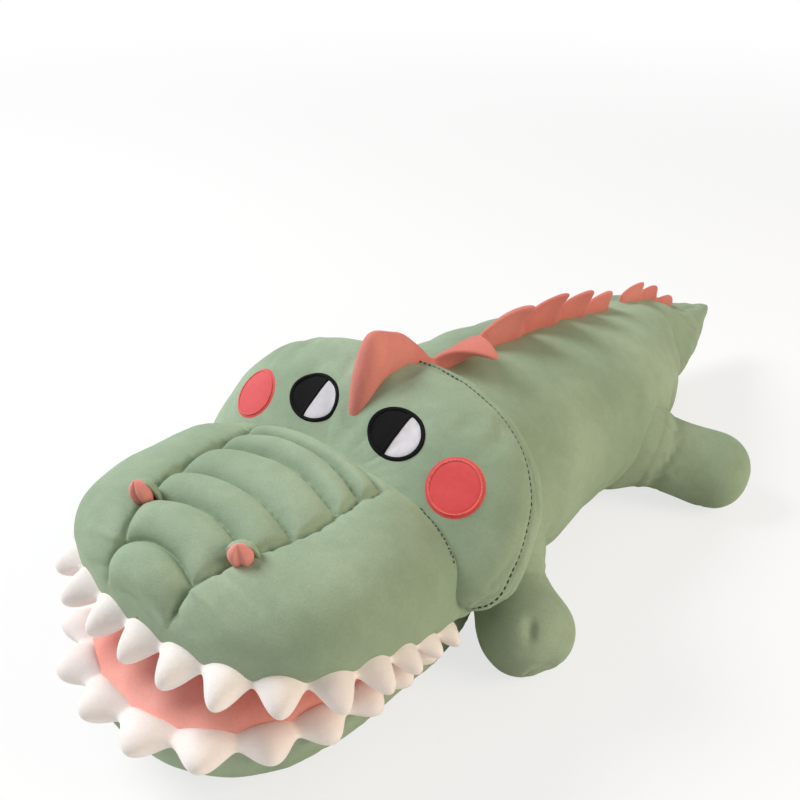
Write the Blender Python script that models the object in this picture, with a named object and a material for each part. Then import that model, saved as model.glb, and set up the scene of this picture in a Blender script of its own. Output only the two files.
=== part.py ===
"""Stuffed plush crocodile lying on its belly with its mouth open.

Metres, +Z up. The snout points along -Y and the origin is on the floor under the belly.
Each stuffed form is a cover, an open bag of cloth, round a filling of loose fibre.
"""
import math

import bmesh
import bpy
from mathutils import Matrix, Vector
from mathutils.bvhtree import BVHTree

MM = 0.001

# Cloth, clearances and fineness of the mesh
WALL = 2.5 * MM
GAP = 0.3 * MM
OVERRUN = 20 * MM
FLOOR_CUT = 0.5 * MM
SEGMENTS = 24
INNER_SEGMENTS = 14
LIMB_SEGMENTS = 14
LIMB_INNER_SEGMENTS = 10
SOCKET_SEGMENTS = 12
TAIL_SOCKET_SEGMENTS = 16
SOCKET_RINGS = 8
SEAT_SEGMENTS = 32
PATCH_SEGMENTS = 20
NOSTRIL_SEGMENTS = 12
PATH_SAMPLES = 240
SHARP_EDGE = math.radians(50)
ROUND_POWER = 2.2

# Torso
TORSO_HALF_WIDTH = 82 * MM
TORSO_HEIGHT = 150 * MM
TORSO_FRONT = -128 * MM
TORSO_REAR = 152 * MM
TORSO_WIDEST_SHARE = 0.46
TORSO_BELLY_POWER = 2.5

# Head: a puffed hood whose rim lies in a plane that leans back
HOOD_CENTRE_Y = -146 * MM
HOOD_CENTRE_Z = 95 * MM
HOOD_HALF_WIDTH = 117 * MM
HOOD_UP = 85 * MM
HOOD_DOWN = 34 * MM
HOOD_LEAN = math.radians(40)
HOOD_DOME = 35 * MM
HOOD_BACK = 24 * MM
HOOD_UP_POWER = 2.5
HOOD_DOWN_POWER = 3.5
NECK_Y = -120 * MM
NECK_HALF_WIDTH = 84 * MM
NECK_CENTRE_Z = 100 * MM
NECK_UP = 40 * MM
NECK_DOWN = 28 * MM
NECK_HOLE = 24 * MM
NECK_HOLE_WIDTH = 48 * MM
NECK_DOWN_POWER = 2.6
HOOD_BACK_DRAW = 1.5

# Snout
SNOUT_FRONT = -299 * MM
SNOUT_REAR = -150 * MM
SNOUT_WIDEST_Y = -215 * MM
SNOUT_HALF_WIDTH = 101 * MM
SNOUT_TOP = 142 * MM
SNOUT_BROW_Y = -240 * MM
SNOUT_REAR_DIP = 18 * MM
ROLL_COUNT = 6
ROLL_REAR = -174 * MM
ROLL_FRONT = -285 * MM
ROLL_DEPTH = 4.5 * MM
ROLL_HALF_WIDTH = 50 * MM
SNOUT_SIDE_POWER = 5.5
SNOUT_TOP_POWER = 2.3
SNOUT_PLAN_POWER = 2.7
SNOUT_PROFILE_POWER = 2.3
SNOUT_WIDEST_SHARE = 0.3
SNOUT_TIP_SHARES = (0.45, 0.75, 0.93, 0.995)
ROLL_SIDE_POWER = 3
ROLL_FOOT_SHARE = 0.4

# Mouth: the upper rim slopes up towards the front
MOUTH_REAR = -160 * MM
UPPER_RIM_REAR_Z = 70 * MM
UPPER_RIM_FRONT_Z = 100 * MM
LOWER_RIM_REAR_Z = 51 * MM
LOWER_RIM_FRONT_Z = 57 * MM
PALATE_BULGE = 6 * MM
PALATE_END_SHARE = 0.3
PALATE_END_POWER = 0.25
LINING_DOME = 7 * MM

# Lower jaw and its hinge
JAW_FRONT = -320 * MM
JAW_HALF_WIDTH = 84 * MM
JAW_WIDEST_Y = -215 * MM
JAW_CHIN_Y = -250 * MM
HINGE_Y = -140 * MM
HINGE_Z = 28.5 * MM
HINGE_RADIUS = 28 * MM
HINGE_HALF_WIDTH = 70 * MM
HINGE_END_WIDTH_SHARE = 0.93
HINGE_ANGLES = (78, 58, 34, 12)
HINGE_POWER = 4.5
JAW_SIDE_POWER = 2.6
JAW_PLAN_POWER = 2.3
JAW_PROFILE_POWER = 2.2
LINING_DOME_POWER = 0.6
CORNER_SHARES = (0, 0.35, 0.7, 1)
JAW_SHARES = (0.15, 0.3, 0.45, 0.6, 0.72, 0.82, 0.9, 0.955, 0.985, 0.998)

# Teeth
UPPER_TEETH = 17
LOWER_TEETH = 15
UPPER_TEETH_GATHER = 0.15
LOWER_TEETH_GATHER = 0.2
UPPER_TOOTH_LENGTH = 20 * MM
LOWER_TOOTH_LENGTH = 18 * MM
TOOTH_THICKNESS = 14 * MM
STRIP_LENGTH = 8 * MM
STRIP_THICKNESS = 7 * MM
TOOTH_ROOT = 5 * MM
UPPER_TOOTH_DROOP = math.radians(24)
LOWER_TOOTH_DROOP = math.radians(-4)
TEETH_REAR = -172 * MM
TEETH_FADE = 4
CORNER_TOOTH_SHARE = 0.45
# Place of each ring along one tooth and how much of the tooth's size it has
TOOTH_RING_SHARES = ((0, 0), (0.34, 0.92), (0.66, 0.92))

# Tail
TAIL_BALL = 44 * MM
TAIL_BALL_Y = 155 * MM
TAIL_BALL_Z = 64 * MM
TAIL_LENGTH = 195 * MM
TAIL_HALF_WIDTH = 56 * MM
TAIL_HALF_HEIGHT = 46 * MM
TAIL_DROP = 14 * MM
TAIL_BALL_ANGLES = (78, 58, 38, 20, -2)
TAIL_UP_POWER = 2.1
TAIL_DOWN_POWER = 2.3

# Legs, given for the left side: a ball root in the torso, a drawn-in neck and a club on the floor
FRONT_ROOT_X = 70 * MM
FRONT_ROOT_Y = -88 * MM
FRONT_ROOT_Z = 43 * MM
FRONT_PAW_X = 110 * MM
FRONT_PAW_Y = -111 * MM
FRONT_PAW_Z = 27.5 * MM
FRONT_BALL = 20 * MM
FRONT_CLUB = 28 * MM
FRONT_TIP = 24 * MM
HIND_ROOT_X = 64 * MM
HIND_ROOT_Y = 98 * MM
HIND_ROOT_Z = 36 * MM
HIND_PAW_X = 114 * MM
HIND_PAW_Y = 122 * MM
HIND_PAW_Z = 30 * MM
HIND_BALL = 25 * MM
HIND_CLUB = 30.5 * MM
HIND_TIP = 28 * MM
FRONT_ROOT = Vector((FRONT_ROOT_X, FRONT_ROOT_Y, FRONT_ROOT_Z))
FRONT_PAW = Vector((FRONT_PAW_X, FRONT_PAW_Y, FRONT_PAW_Z))
HIND_ROOT = Vector((HIND_ROOT_X, HIND_ROOT_Y, HIND_ROOT_Z))
HIND_PAW = Vector((HIND_PAW_X, HIND_PAW_Y, HIND_PAW_Z))
LIMB_BALL_ANGLES = (75, 50, 28, 5, -20)
LIMB_TIP_ANGLES = (28, 52, 72, 85)
LIMB_TIP_POWER = 0.8

# Crest
CREST_THICKNESS = 12 * MM
CREST_SINK = 8 * MM
HEAD_CREST_FRONT = -150 * MM
HEAD_CREST_REAR = -84 * MM
HEAD_CREST_HEIGHT = 36 * MM
HEAD_CREST_APEX_SHARE = 0.42
CREST_APEX_SHARE = 0.6
CREST_APEX_HALF_SHARE = 0.08
CREST_RING_SHARES = (0, 0.62, 1, 1, 0.55)
BACK_CREST_FRONT = -78 * MM
BACK_CREST_REAR = 148 * MM
BACK_SPIKES = 5
BACK_SPIKE_HEIGHT = 38 * MM
BACK_SPIKE_LEAN = math.radians(38)
BACK_FADE_SHARE = 0.5
TAIL_CREST_FRONT = 172 * MM
TAIL_CREST_REAR = 262 * MM
TAIL_SPIKES = 3
TAIL_SPIKE_HEIGHT = 18 * MM
TAIL_SPIKE_LEAN = math.radians(20)
TAIL_FADE_SHARE = 0.4
SADDLE_HEIGHT = 5 * MM

# Eyes, cheeks and nostrils
EYE_X = 32.4 * MM
EYE_Z = 150 * MM
EYE_RADIUS = 16.5 * MM
EYE_RIM = 3 * MM
EYE_THICKNESS = 2 * MM
EYE_HALF_SWEEP = 180
EYE_TURN = 20
CHEEK_X = 79 * MM
CHEEK_Z = 141 * MM
CHEEK_RADIUS = 17.5 * MM
CHEEK_THICKNESS = 1.6 * MM
CHEEK_RING_RADIUS = 14.5 * MM
CHEEK_RING_WIDTH = 1.6 * MM
PATCH_SINK = 6 * MM
NOSTRIL_X = 38 * MM
NOSTRIL_Y = -262 * MM
NOSTRIL_RADIUS = 8 * MM
NOSTRIL_WALL = 2.2 * MM
NOSTRIL_HEIGHT = 7 * MM
PETAL_HEIGHT = 6 * MM
NOSTRIL_LEAN = math.radians(19)

COLOURS = {
    "green velour": ((0.33, 0.44, 0.33), 0.9),
    "pink velour": ((0.80, 0.42, 0.38), 0.9),
    "crest velour": ((0.72, 0.36, 0.36), 0.9),
    "white velour": ((0.88, 0.85, 0.82), 0.9),
    "black embroidery": ((0.02, 0.02, 0.02), 0.6),
    "white embroidery": ((0.88, 0.87, 0.85), 0.6),
    "coral satin": ((0.85, 0.22, 0.22), 0.5),
    "coral thread": ((0.92, 0.42, 0.36), 0.5),
    "white fibre": ((0.85, 0.85, 0.83), 0.95),
}


def clear_scene():
    for item in list(bpy.data.objects):
        bpy.data.objects.remove(item, do_unlink=True)


def material(name):
    found = bpy.data.materials.get(name)
    if found:
        return found
    made = bpy.data.materials.new(name)
    made.use_nodes = True
    shader = made.node_tree.nodes["Principled BSDF"]
    colour, roughness = COLOURS[name]
    shader.inputs["Base Color"].default_value = (*colour, 1)
    shader.inputs["Roughness"].default_value = roughness
    shader.inputs["Metallic"].default_value = 0
    return made


def add_object(name, mesh, origin, finish):
    """Links a mesh given in world places as an object whose origin is at a chosen point."""
    mesh.transform(Matrix.Translation(-Vector(origin)))
    mesh.materials.append(material(finish))
    made = bpy.data.objects.new(name, mesh)
    made.location = origin
    bpy.context.scene.collection.objects.link(made)
    mesh.shade_smooth()
    mesh.set_sharp_from_angle(angle=SHARP_EDGE)
    return made


def guide(made):
    made.hide_render = True
    made.display_type = "WIRE"
    return made


def boolean(piece, other, operation="DIFFERENCE"):
    step = piece.modifiers.new(operation.lower() + " " + other.name, "BOOLEAN")
    step.object = other
    step.operation = operation
    step.solver = "EXACT"
    return step


def signed_power(value, power):
    return math.copysign(abs(value) ** power, value)


def ring(centre, wide, up, down, segments, power_up=ROUND_POWER, power_down=ROUND_POWER, lean=0.0):
    """A closed outline round a centre, with its own height above and below."""
    upward = Vector((0, math.sin(lean), math.cos(lean)))
    points = []
    for step in range(segments):
        angle = 2 * math.pi * (step + 0.5) / segments
        above = math.sin(angle) > 0
        power = power_up if above else power_down
        height = up if above else down
        across = wide * signed_power(math.cos(angle), 2 / power)
        rise = height * signed_power(math.sin(angle), 2 / power)
        points.append(Vector(centre) + Vector((across, 0, 0)) + upward * rise)
    return points


def loft(name, rings, origin, finish, floor=None, shape=None):
    """Joins rings of equal count into one closed body, its ends closed by a fan each."""
    build = bmesh.new()
    rows = []
    for points in rings:
        if shape:
            points = [shape(point) for point in points]
        if floor is not None:
            points = [Vector((p.x, p.y, max(p.z, floor))) for p in points]
        rows.append([build.verts.new(point) for point in points])
    count = len(rows[0])
    for first, second in zip(rows, rows[1:]):
        for step in range(count):
            after = (step + 1) % count
            build.faces.new((first[step], first[after], second[after]))
            build.faces.new((first[step], second[after], second[step]))
    for row in (rows[0], rows[-1]):
        middle = sum((vert.co for vert in row), Vector()) / count
        hub = build.verts.new(middle)
        for step in range(count):
            build.faces.new((row[step], row[(step + 1) % count], hub))
    bmesh.ops.recalc_face_normals(build, faces=build.faces)
    mesh = bpy.data.meshes.new(name)
    build.to_mesh(mesh)
    build.free()
    return add_object(name, mesh, origin, finish)


def blend(first, second, share):
    return first + (second - first) * share


def ease(share):
    share = min(max(share, 0.0), 1.0)
    return share * share * (3 - 2 * share)


def bulge(distance, reach, power):
    """Falls from 1 at no distance to 0 at the full reach, as a superellipse does."""
    share = min(max(distance / reach, 0.0), 1.0)
    return (1 - share ** power) ** (1 / power)


# Places along the torso, its width and its upper and lower height, as shares
TORSO_SHARES = (
    (0.000, 0.62, 0.84, 0.26),
    (0.030, 0.80, 0.93, 0.14),
    (0.090, 0.93, 0.98, 0.04),
    (0.200, 1.00, 1.00, 0.00),
    (0.340, 1.00, 0.97, 0.00),
    (0.480, 0.99, 0.93, 0.00),
    (0.620, 0.97, 0.88, 0.00),
    (0.760, 0.94, 0.83, 0.00),
    (0.880, 0.89, 0.80, 0.00),
    (0.960, 0.80, 0.77, 0.02),
    (1.000, 0.70, 0.73, 0.06),
)


def torso_form(name, inset, segments):
    rings = []
    front = TORSO_FRONT + inset
    rear = TORSO_REAR - inset
    low = inset - FLOOR_CUT
    for along, wide, top, bottom in TORSO_SHARES:
        upper = top * TORSO_HEIGHT - inset
        lower = bottom * TORSO_HEIGHT + low
        centre = (0, blend(front, rear, along), blend(lower, upper, TORSO_WIDEST_SHARE))
        rings.append(ring(centre, wide * TORSO_HALF_WIDTH - inset, upper - centre[2],
                          centre[2] - lower, segments, ROUND_POWER, TORSO_BELLY_POWER))
    return loft(name, rings, (0, 0, 0), "green velour", floor=inset if inset > 0 else 0)


# Distance of each hood ring from the rim plane and its size, as shares
HOOD_SHARES = (
    (-0.90, 0.93),
    (-0.45, 0.985),
    (0.00, 1.00),
    (0.25, 0.99),
    (0.50, 0.95),
    (0.72, 0.86),
    (0.88, 0.70),
    (0.96, 0.48),
    (1.00, 0.20),
)


def hood_form(name, inset, segments, neck_reach=0.0):
    rings = []
    facing = Vector((0, -math.cos(HOOD_LEAN), math.sin(HOOD_LEAN)))
    neck_y = NECK_Y - inset + neck_reach
    if neck_reach:
        for y in (neck_y, NECK_Y - inset):
            rings.append(ring((0, y, NECK_CENTRE_Z), NECK_HOLE_WIDTH, NECK_HOLE, NECK_HOLE, segments))
    rings.append(ring((0, NECK_Y - inset, NECK_CENTRE_Z), NECK_HALF_WIDTH - inset,
                      NECK_UP + inset, NECK_DOWN - inset, segments, ROUND_POWER, NECK_DOWN_POWER))
    for offset, size in HOOD_SHARES:
        reach = HOOD_DOME if offset > 0 else HOOD_BACK - inset * HOOD_BACK_DRAW
        centre = Vector((0, HOOD_CENTRE_Y, HOOD_CENTRE_Z)) + facing * offset * (reach - inset)
        rings.append(ring(centre, size * (HOOD_HALF_WIDTH - inset), size * (HOOD_UP - inset),
                          size * (HOOD_DOWN - inset), segments, HOOD_UP_POWER, HOOD_DOWN_POWER, HOOD_LEAN))
    return loft(name, rings, (0, 0, 0), "green velour")


def upper_rim(y):
    share = (MOUTH_REAR - y) / (MOUTH_REAR - SNOUT_FRONT)
    return blend(UPPER_RIM_REAR_Z, UPPER_RIM_FRONT_Z, share)


def lower_rim(y):
    share = (MOUTH_REAR - y) / (MOUTH_REAR - JAW_FRONT)
    return blend(LOWER_RIM_REAR_Z, LOWER_RIM_FRONT_Z, share)


def snout_section(y):
    """Half width, top, widest level and bottom of the snout at a place along it."""
    wide = SNOUT_HALF_WIDTH * bulge(SNOUT_WIDEST_Y - y, SNOUT_WIDEST_Y - SNOUT_FRONT, SNOUT_PLAN_POWER)
    low = upper_rim(y)
    middle = blend(low, SNOUT_TOP, SNOUT_WIDEST_SHARE)
    brow = bulge(SNOUT_BROW_Y - y, SNOUT_BROW_Y - SNOUT_FRONT, SNOUT_PROFILE_POWER)
    top = middle + (SNOUT_TOP - middle) * brow
    top -= SNOUT_REAR_DIP * ease((y - ROLL_REAR) / (SNOUT_REAR - ROLL_REAR))
    swell = bulge(SNOUT_WIDEST_Y - y, SNOUT_WIDEST_Y - SNOUT_FRONT, ROUND_POWER)
    bottom = low - PALATE_BULGE * swell
    bottom = blend(middle, bottom, max(swell, PALATE_END_SHARE) ** PALATE_END_POWER)
    return wide, top, middle, bottom


def snout_places(fine):
    pitch = (ROLL_REAR - ROLL_FRONT) / ROLL_COUNT
    count = 2 * ROLL_COUNT if fine else ROLL_COUNT
    places = [SNOUT_REAR]
    places += [blend(ROLL_REAR, ROLL_FRONT, step / count) for step in range(count + 1)]
    left = ROLL_FRONT - SNOUT_FRONT
    places += [ROLL_FRONT - left * share for share in SNOUT_TIP_SHARES]
    return places, pitch


def snout_form(name, inset, segments, fine=True):
    places, pitch = snout_places(fine)
    length = SNOUT_REAR - SNOUT_FRONT
    rings = []
    for y in places:
        wide, top, middle, bottom = snout_section(y)
        moved = SNOUT_REAR + (y - SNOUT_REAR) * (length - inset) / length
        size = wide * (SNOUT_HALF_WIDTH - inset) / SNOUT_HALF_WIDTH
        up = (top - middle) * (1 - inset / (SNOUT_TOP - middle))
        down = max(middle - bottom - inset, MM)
        rings.append(ring((0, moved, middle), size, up, down, segments, SNOUT_TOP_POWER, SNOUT_SIDE_POWER))

    def rolls(point):
        across = bulge(abs(point.x), ROLL_HALF_WIDTH + pitch / 2, ROLL_SIDE_POWER)
        along = (ROLL_REAR - point.y) / pitch
        foot = blend(UPPER_RIM_FRONT_Z, SNOUT_TOP, ROLL_FOOT_SHARE)
        if across <= 0 or along < 0 or along > ROLL_COUNT or point.z < foot:
            return point
        sink = ROLL_DEPTH * across * math.cos(math.pi * along) ** 2
        return point - Vector((0, 0, sink))

    return loft(name, rings, (0, 0, 0), "green velour", shape=rolls if fine else None)


def jaw_section(y):
    """Half width, top, widest level and bottom of the jaw at a place along it."""
    if y > HINGE_Y:
        height = math.sqrt(max(HINGE_RADIUS ** 2 - (y - HINGE_Y) ** 2, MM ** 2))
        share = (y - HINGE_Y) / HINGE_RADIUS
        wide = HINGE_HALF_WIDTH * blend(1, HINGE_END_WIDTH_SHARE, share)
        return wide, HINGE_Z + height, HINGE_Z, HINGE_Z - height
    widen = ease((HINGE_Y - y) / (HINGE_Y - TEETH_REAR))
    wide = blend(HINGE_HALF_WIDTH, JAW_HALF_WIDTH, widen)
    wide *= bulge(JAW_WIDEST_Y - y, JAW_WIDEST_Y - JAW_FRONT, JAW_PLAN_POWER)
    along = min(max((TEETH_REAR - y) / (TEETH_REAR - JAW_FRONT), 0), 1)
    swell = math.sin(math.pi * along) ** LINING_DOME_POWER
    top = blend(HINGE_Z + HINGE_RADIUS, lower_rim(y) + LINING_DOME * swell, widen)
    middle = blend(HINGE_Z, lower_rim(y) - MM, widen)
    low = middle - (middle + FLOOR_CUT) * bulge(JAW_CHIN_Y - y, JAW_CHIN_Y - JAW_FRONT, JAW_PROFILE_POWER)
    return wide, max(top, middle + MM), middle, low


def jaw_places():
    places = [HINGE_Y + HINGE_RADIUS * math.sin(math.radians(angle)) for angle in HINGE_ANGLES]
    span = HINGE_Y - TEETH_REAR
    places += [HINGE_Y - span * share for share in CORNER_SHARES]
    reach = TEETH_REAR - JAW_FRONT
    places += [TEETH_REAR - reach * share for share in JAW_SHARES]
    return places


def jaw_form(name, inset, segments):
    rings = []
    for y in jaw_places():
        wide, top, middle, low = jaw_section(y)
        whole = HINGE_Y - JAW_FRONT if y < HINGE_Y else HINGE_RADIUS
        moved = HINGE_Y + (y - HINGE_Y) * (1 - inset / whole)
        size = wide * (JAW_HALF_WIDTH - inset) / JAW_HALF_WIDTH
        shrink = 1 - inset / HINGE_RADIUS
        up = (top - middle) * shrink if y > HINGE_Y else max(top - middle - inset, MM / 2)
        down = (middle - low) * shrink if y > HINGE_Y else max(middle - low - inset, MM / 2)
        power = blend(HINGE_POWER, JAW_SIDE_POWER, ease((HINGE_Y - y) / (HINGE_Y - TEETH_REAR)))
        rings.append(ring((0, moved, middle), size, up, down, segments, power, power))
    return loft(name, rings, (0, HINGE_Y, HINGE_Z), "green velour", floor=inset if inset > 0 else 0)


# Place beyond the ball's centre along the tail and its size, as shares
TAIL_SHARES = ((0.062, 1.00), (0.12, 0.99), (0.20, 0.92), (0.34, 0.76), (0.50, 0.58),
               (0.66, 0.42), (0.80, 0.28), (0.91, 0.16), (0.98, 0.07))


def tail_form(name, inset, segments, root_reach=0.0):
    ball = TAIL_BALL - inset
    rings = []
    if root_reach:
        hole = ball * math.cos(math.radians(TAIL_BALL_ANGLES[0]))
        y = TAIL_BALL_Y - ball - root_reach
        rings.append(ring((0, y, TAIL_BALL_Z), hole, hole, hole, segments, 2, 2))
    for degrees in TAIL_BALL_ANGLES:
        size = ball * math.cos(math.radians(degrees))
        y = TAIL_BALL_Y - ball * math.sin(math.radians(degrees))
        rings.append(ring((0, y, TAIL_BALL_Z), size, size, size, segments, 2, 2))
    for along, share in TAIL_SHARES:
        y = TAIL_BALL_Y + along * (TAIL_LENGTH - inset)
        drawn = inset * min(1, share * 2)
        wide = max(share * TAIL_HALF_WIDTH - drawn, MM)
        high = max(share * TAIL_HALF_HEIGHT - drawn, MM)
        z = TAIL_BALL_Z - TAIL_DROP * along
        rings.append(ring((0, y, z), wide, high, high, segments, TAIL_UP_POWER, TAIL_DOWN_POWER))
    return loft(name, rings, (0, TAIL_BALL_Y, TAIL_BALL_Z), "green velour")


# Place between the root and the paw's centre and the size of the club, as shares
CLUB_SHARES = ((0.42, 0.56), (0.60, 0.70), (0.80, 0.91), (1.00, 1.00))


def limb_form(name, root, paw, ball, club, tip, inset, segments, root_reach=0.0):
    path = paw - root
    reach = path.length
    turn = path.to_track_quat("Z", "Y")
    inner = ball - inset
    sizes = []
    if root_reach:
        sizes.append((-inner - root_reach, inner * math.cos(math.radians(LIMB_BALL_ANGLES[0]))))
    for degrees in LIMB_BALL_ANGLES:
        angle = math.radians(degrees)
        sizes.append((-inner * math.sin(angle), inner * math.cos(angle)))
    for along, share in CLUB_SHARES:
        sizes.append((along * reach, share * club - inset))
    for degrees in LIMB_TIP_ANGLES:
        angle = math.radians(degrees)
        size = (club - inset) * math.cos(angle) ** LIMB_TIP_POWER
        sizes.append((reach + (tip - inset) * math.sin(angle), size))
    rings = []
    for along, size in sizes:
        points = []
        for step in range(segments):
            angle = 2 * math.pi * step / segments
            flat = Vector((math.cos(angle) * size, math.sin(angle) * size, along))
            points.append(root + turn @ flat)
        rings.append(points)
    return loft(name, rings, root, "green velour", floor=inset if inset > 0 else 0)


def ball_guide(name, centre, radius, segments):
    build = bmesh.new()
    squeeze = math.cos(math.pi / segments) * math.cos(math.pi / SOCKET_RINGS / 2)
    clear = radius / squeeze
    bmesh.ops.create_uvsphere(build, u_segments=segments, v_segments=SOCKET_RINGS, radius=clear)
    bmesh.ops.rotate(build, verts=build.verts, matrix=Matrix.Rotation(math.radians(90), 3, "X"))
    bmesh.ops.translate(build, verts=build.verts, vec=centre)
    mesh = bpy.data.meshes.new(name)
    build.to_mesh(mesh)
    build.free()
    return guide(add_object(name, mesh, centre, "white fibre"))


def seat_guide(name, radius):
    """A round bar across the whole width on the hinge line of the jaw."""
    build = bmesh.new()
    clear = radius / math.cos(math.pi / SEAT_SEGMENTS)
    bmesh.ops.create_cone(build, cap_ends=True, segments=SEAT_SEGMENTS, radius1=clear, radius2=clear,
                          depth=2 * (HOOD_HALF_WIDTH + OVERRUN))
    bmesh.ops.rotate(build, verts=build.verts, matrix=Matrix.Rotation(math.radians(90), 3, "Y"))
    bmesh.ops.translate(build, verts=build.verts, vec=(0, HINGE_Y, HINGE_Z))
    mesh = bpy.data.meshes.new(name)
    build.to_mesh(mesh)
    build.free()
    return guide(add_object(name, mesh, (0, HINGE_Y, HINGE_Z), "white fibre"))


def rim_guide(name, rear_z, front_z, front, side, shift):
    """A wedge of space above (side 1) or below (side -1) the plane of a mouth rim."""
    wide = HOOD_HALF_WIDTH + OVERRUN
    slope = (front_z - rear_z) / (front - MOUTH_REAR)
    start = MOUTH_REAR + OVERRUN * 2 if side < 0 else TEETH_REAR + GAP
    end = front - 2 * OVERRUN
    outline = []
    for y in (start, end):
        outline.append((y, rear_z + slope * (y - MOUTH_REAR) + shift))
    far = side * TORSO_HEIGHT
    corners = [outline[0], outline[1], (end, outline[1][1] + far), (start, outline[0][1] + far)]
    build = bmesh.new()
    left = [build.verts.new((-wide, y, z)) for y, z in corners]
    right = [build.verts.new((wide, y, z)) for y, z in corners]
    build.faces.new(left)
    build.faces.new(right)
    for step in range(4):
        after = (step + 1) % 4
        build.faces.new((left[step], left[after], right[after], right[step]))
    bmesh.ops.recalc_face_normals(build, faces=build.faces)
    mesh = bpy.data.meshes.new(name)
    build.to_mesh(mesh)
    build.free()
    return guide(add_object(name, mesh, (0, 0, 0), "white fibre"))


def rim_path(section, rim, front):
    """The sewn line between a form's two panels, from the left corner round to the right."""
    side = []
    for step in range(PATH_SAMPLES):
        y = blend(TEETH_REAR, front, math.sin(math.pi / 2 * step / PATH_SAMPLES))
        wide, _, middle, bottom = section(y)
        share = (middle - rim(y)) / max(middle - bottom, MM / 10)
        power = SNOUT_SIDE_POWER if rim is upper_rim else JAW_SIDE_POWER
        if share >= 1:
            break
        across = wide * (1 - max(share, 0.0) ** power) ** (1 / power)
        side.append(Vector((across, y, rim(y))))
    side.append(Vector((0, side[-1].y, side[-1].z)))
    return side + [Vector((-p.x, p.y, p.z)) for p in reversed(side[:-1])]


def along_path(path, share):
    lengths = [0.0]
    for first, second in zip(path, path[1:]):
        lengths.append(lengths[-1] + (second - first).length)
    target = share * lengths[-1]
    for step in range(1, len(path)):
        if lengths[step] >= target and lengths[step] > lengths[step - 1]:
            part = (target - lengths[step - 1]) / (lengths[step] - lengths[step - 1])
            return path[step - 1].lerp(path[step], part)
    return path[-1].copy()


# Outline of a tooth seen from the side: distance from its root and half thickness, as shares
TOOTH_SECTION_SHARES = ((0, 0.75), (0.6, 1), (1, 0), (0.6, -1), (0, -0.75))


def teeth_row(name, path, count, gather, length, droop, origin):
    """One sewn strip that swells into a rounded tooth at each pitch, widest apart at the front."""
    rings = []
    for tooth in range(count):
        for part, swell in TOOTH_RING_SHARES:
            place = (tooth + part) / count
            share = place - gather * math.sin(2 * math.pi * place) / 2 / math.pi
            here = along_path(path, share)
            before = along_path(path, max(share - 1 / 2 / count, 0))
            after = along_path(path, min(share + 1 / 2 / count, 1))
            travel = (after - before).normalized()
            outward = Vector((-travel.y, travel.x, 0)).normalized()
            if outward.dot(here - Vector((0, MOUTH_REAR, here.z))) < 0:
                outward = -outward
            corner = ease(min(place, 1 - place) * count / TEETH_FADE)
            size = swell * blend(CORNER_TOOTH_SHARE, 1.0, corner)
            long = blend(STRIP_LENGTH, length, size)
            thick = blend(STRIP_THICKNESS, TOOTH_THICKNESS, size) / 2
            lift = Vector((0, 0, 1))
            tooth_way = outward * math.cos(droop) - lift * math.sin(droop)
            across = lift * math.cos(droop) + outward * math.sin(droop)
            root = here - tooth_way * TOOTH_ROOT
            full = long + TOOTH_ROOT
            points = []
            for along, rise in TOOTH_SECTION_SHARES:
                points.append(root + tooth_way * full * along + across * thick * rise)
            rings.append(points)
    return loft(name, rings, origin, "white velour")


def surface_under(form, x, z):
    """The point and the outward direction of a form's surface, met from in front and above."""
    depsgraph = bpy.context.evaluated_depsgraph_get()
    tree = BVHTree.FromObject(form, depsgraph)
    way = Vector((0, math.cos(HOOD_LEAN), -math.sin(HOOD_LEAN)))
    start = Vector((x, HOOD_CENTRE_Y, z)) - way * TORSO_HEIGHT
    shift = form.matrix_world.translation
    place, normal, _, _ = tree.ray_cast(start - shift, way)
    return place + shift, normal


def disc(name, place, normal, finish, outer, inner=0.0, above=EYE_THICKNESS, start=0.0, sweep=360.0,
         lift=0.0, round_steps=PATCH_SEGMENTS):
    """A flat patch, ring or half patch that stands on a form and reaches a little into it."""
    full = sweep >= 360
    steps = round_steps if full else round_steps // 2
    build = bmesh.new()
    turn = normal.to_track_quat("Z", "Y").to_matrix().to_4x4()
    frame = Matrix.Translation(place + normal * lift) @ turn
    low = -PATCH_SINK if lift == 0 else 0
    outlines = []
    for height in (low, above):
        loop = []
        for step in range(steps if full else steps + 1):
            angle = math.radians(start + sweep * step / steps)
            loop.append(build.verts.new((outer * math.cos(angle), outer * math.sin(angle), height)))
        outlines.append(loop)
    inner_loops = []
    if inner:
        for height in (low, above):
            loop = []
            for step in range(steps):
                angle = math.radians(start + sweep * step / steps)
                loop.append(build.verts.new((inner * math.cos(angle), inner * math.sin(angle), height)))
            inner_loops.append(loop)
    count = len(outlines[0])
    for loops in (outlines, inner_loops) if inner else (outlines,):
        for step in range(count):
            after = (step + 1) % count
            build.faces.new((loops[0][step], loops[0][after], loops[1][after], loops[1][step]))
    for level in (0, 1):
        if inner:
            for step in range(count):
                after = (step + 1) % count
                build.faces.new((outlines[level][step], outlines[level][after],
                                 inner_loops[level][after], inner_loops[level][step]))
        else:
            build.faces.new(outlines[level])
    bmesh.ops.recalc_face_normals(build, faces=build.faces)
    bmesh.ops.transform(build, matrix=frame, verts=build.verts)
    mesh = bpy.data.meshes.new(name)
    build.to_mesh(mesh)
    build.free()
    return add_object(name, mesh, (0, 0, 0), finish)


# Outline across the crest: distance from its foot and half thickness, as shares
CREST_SECTION_SHARES = ((0, 0.9), (0.5, 1), (1, 0.35), (1, -0.35), (0.5, -1), (0, -0.9))


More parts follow.
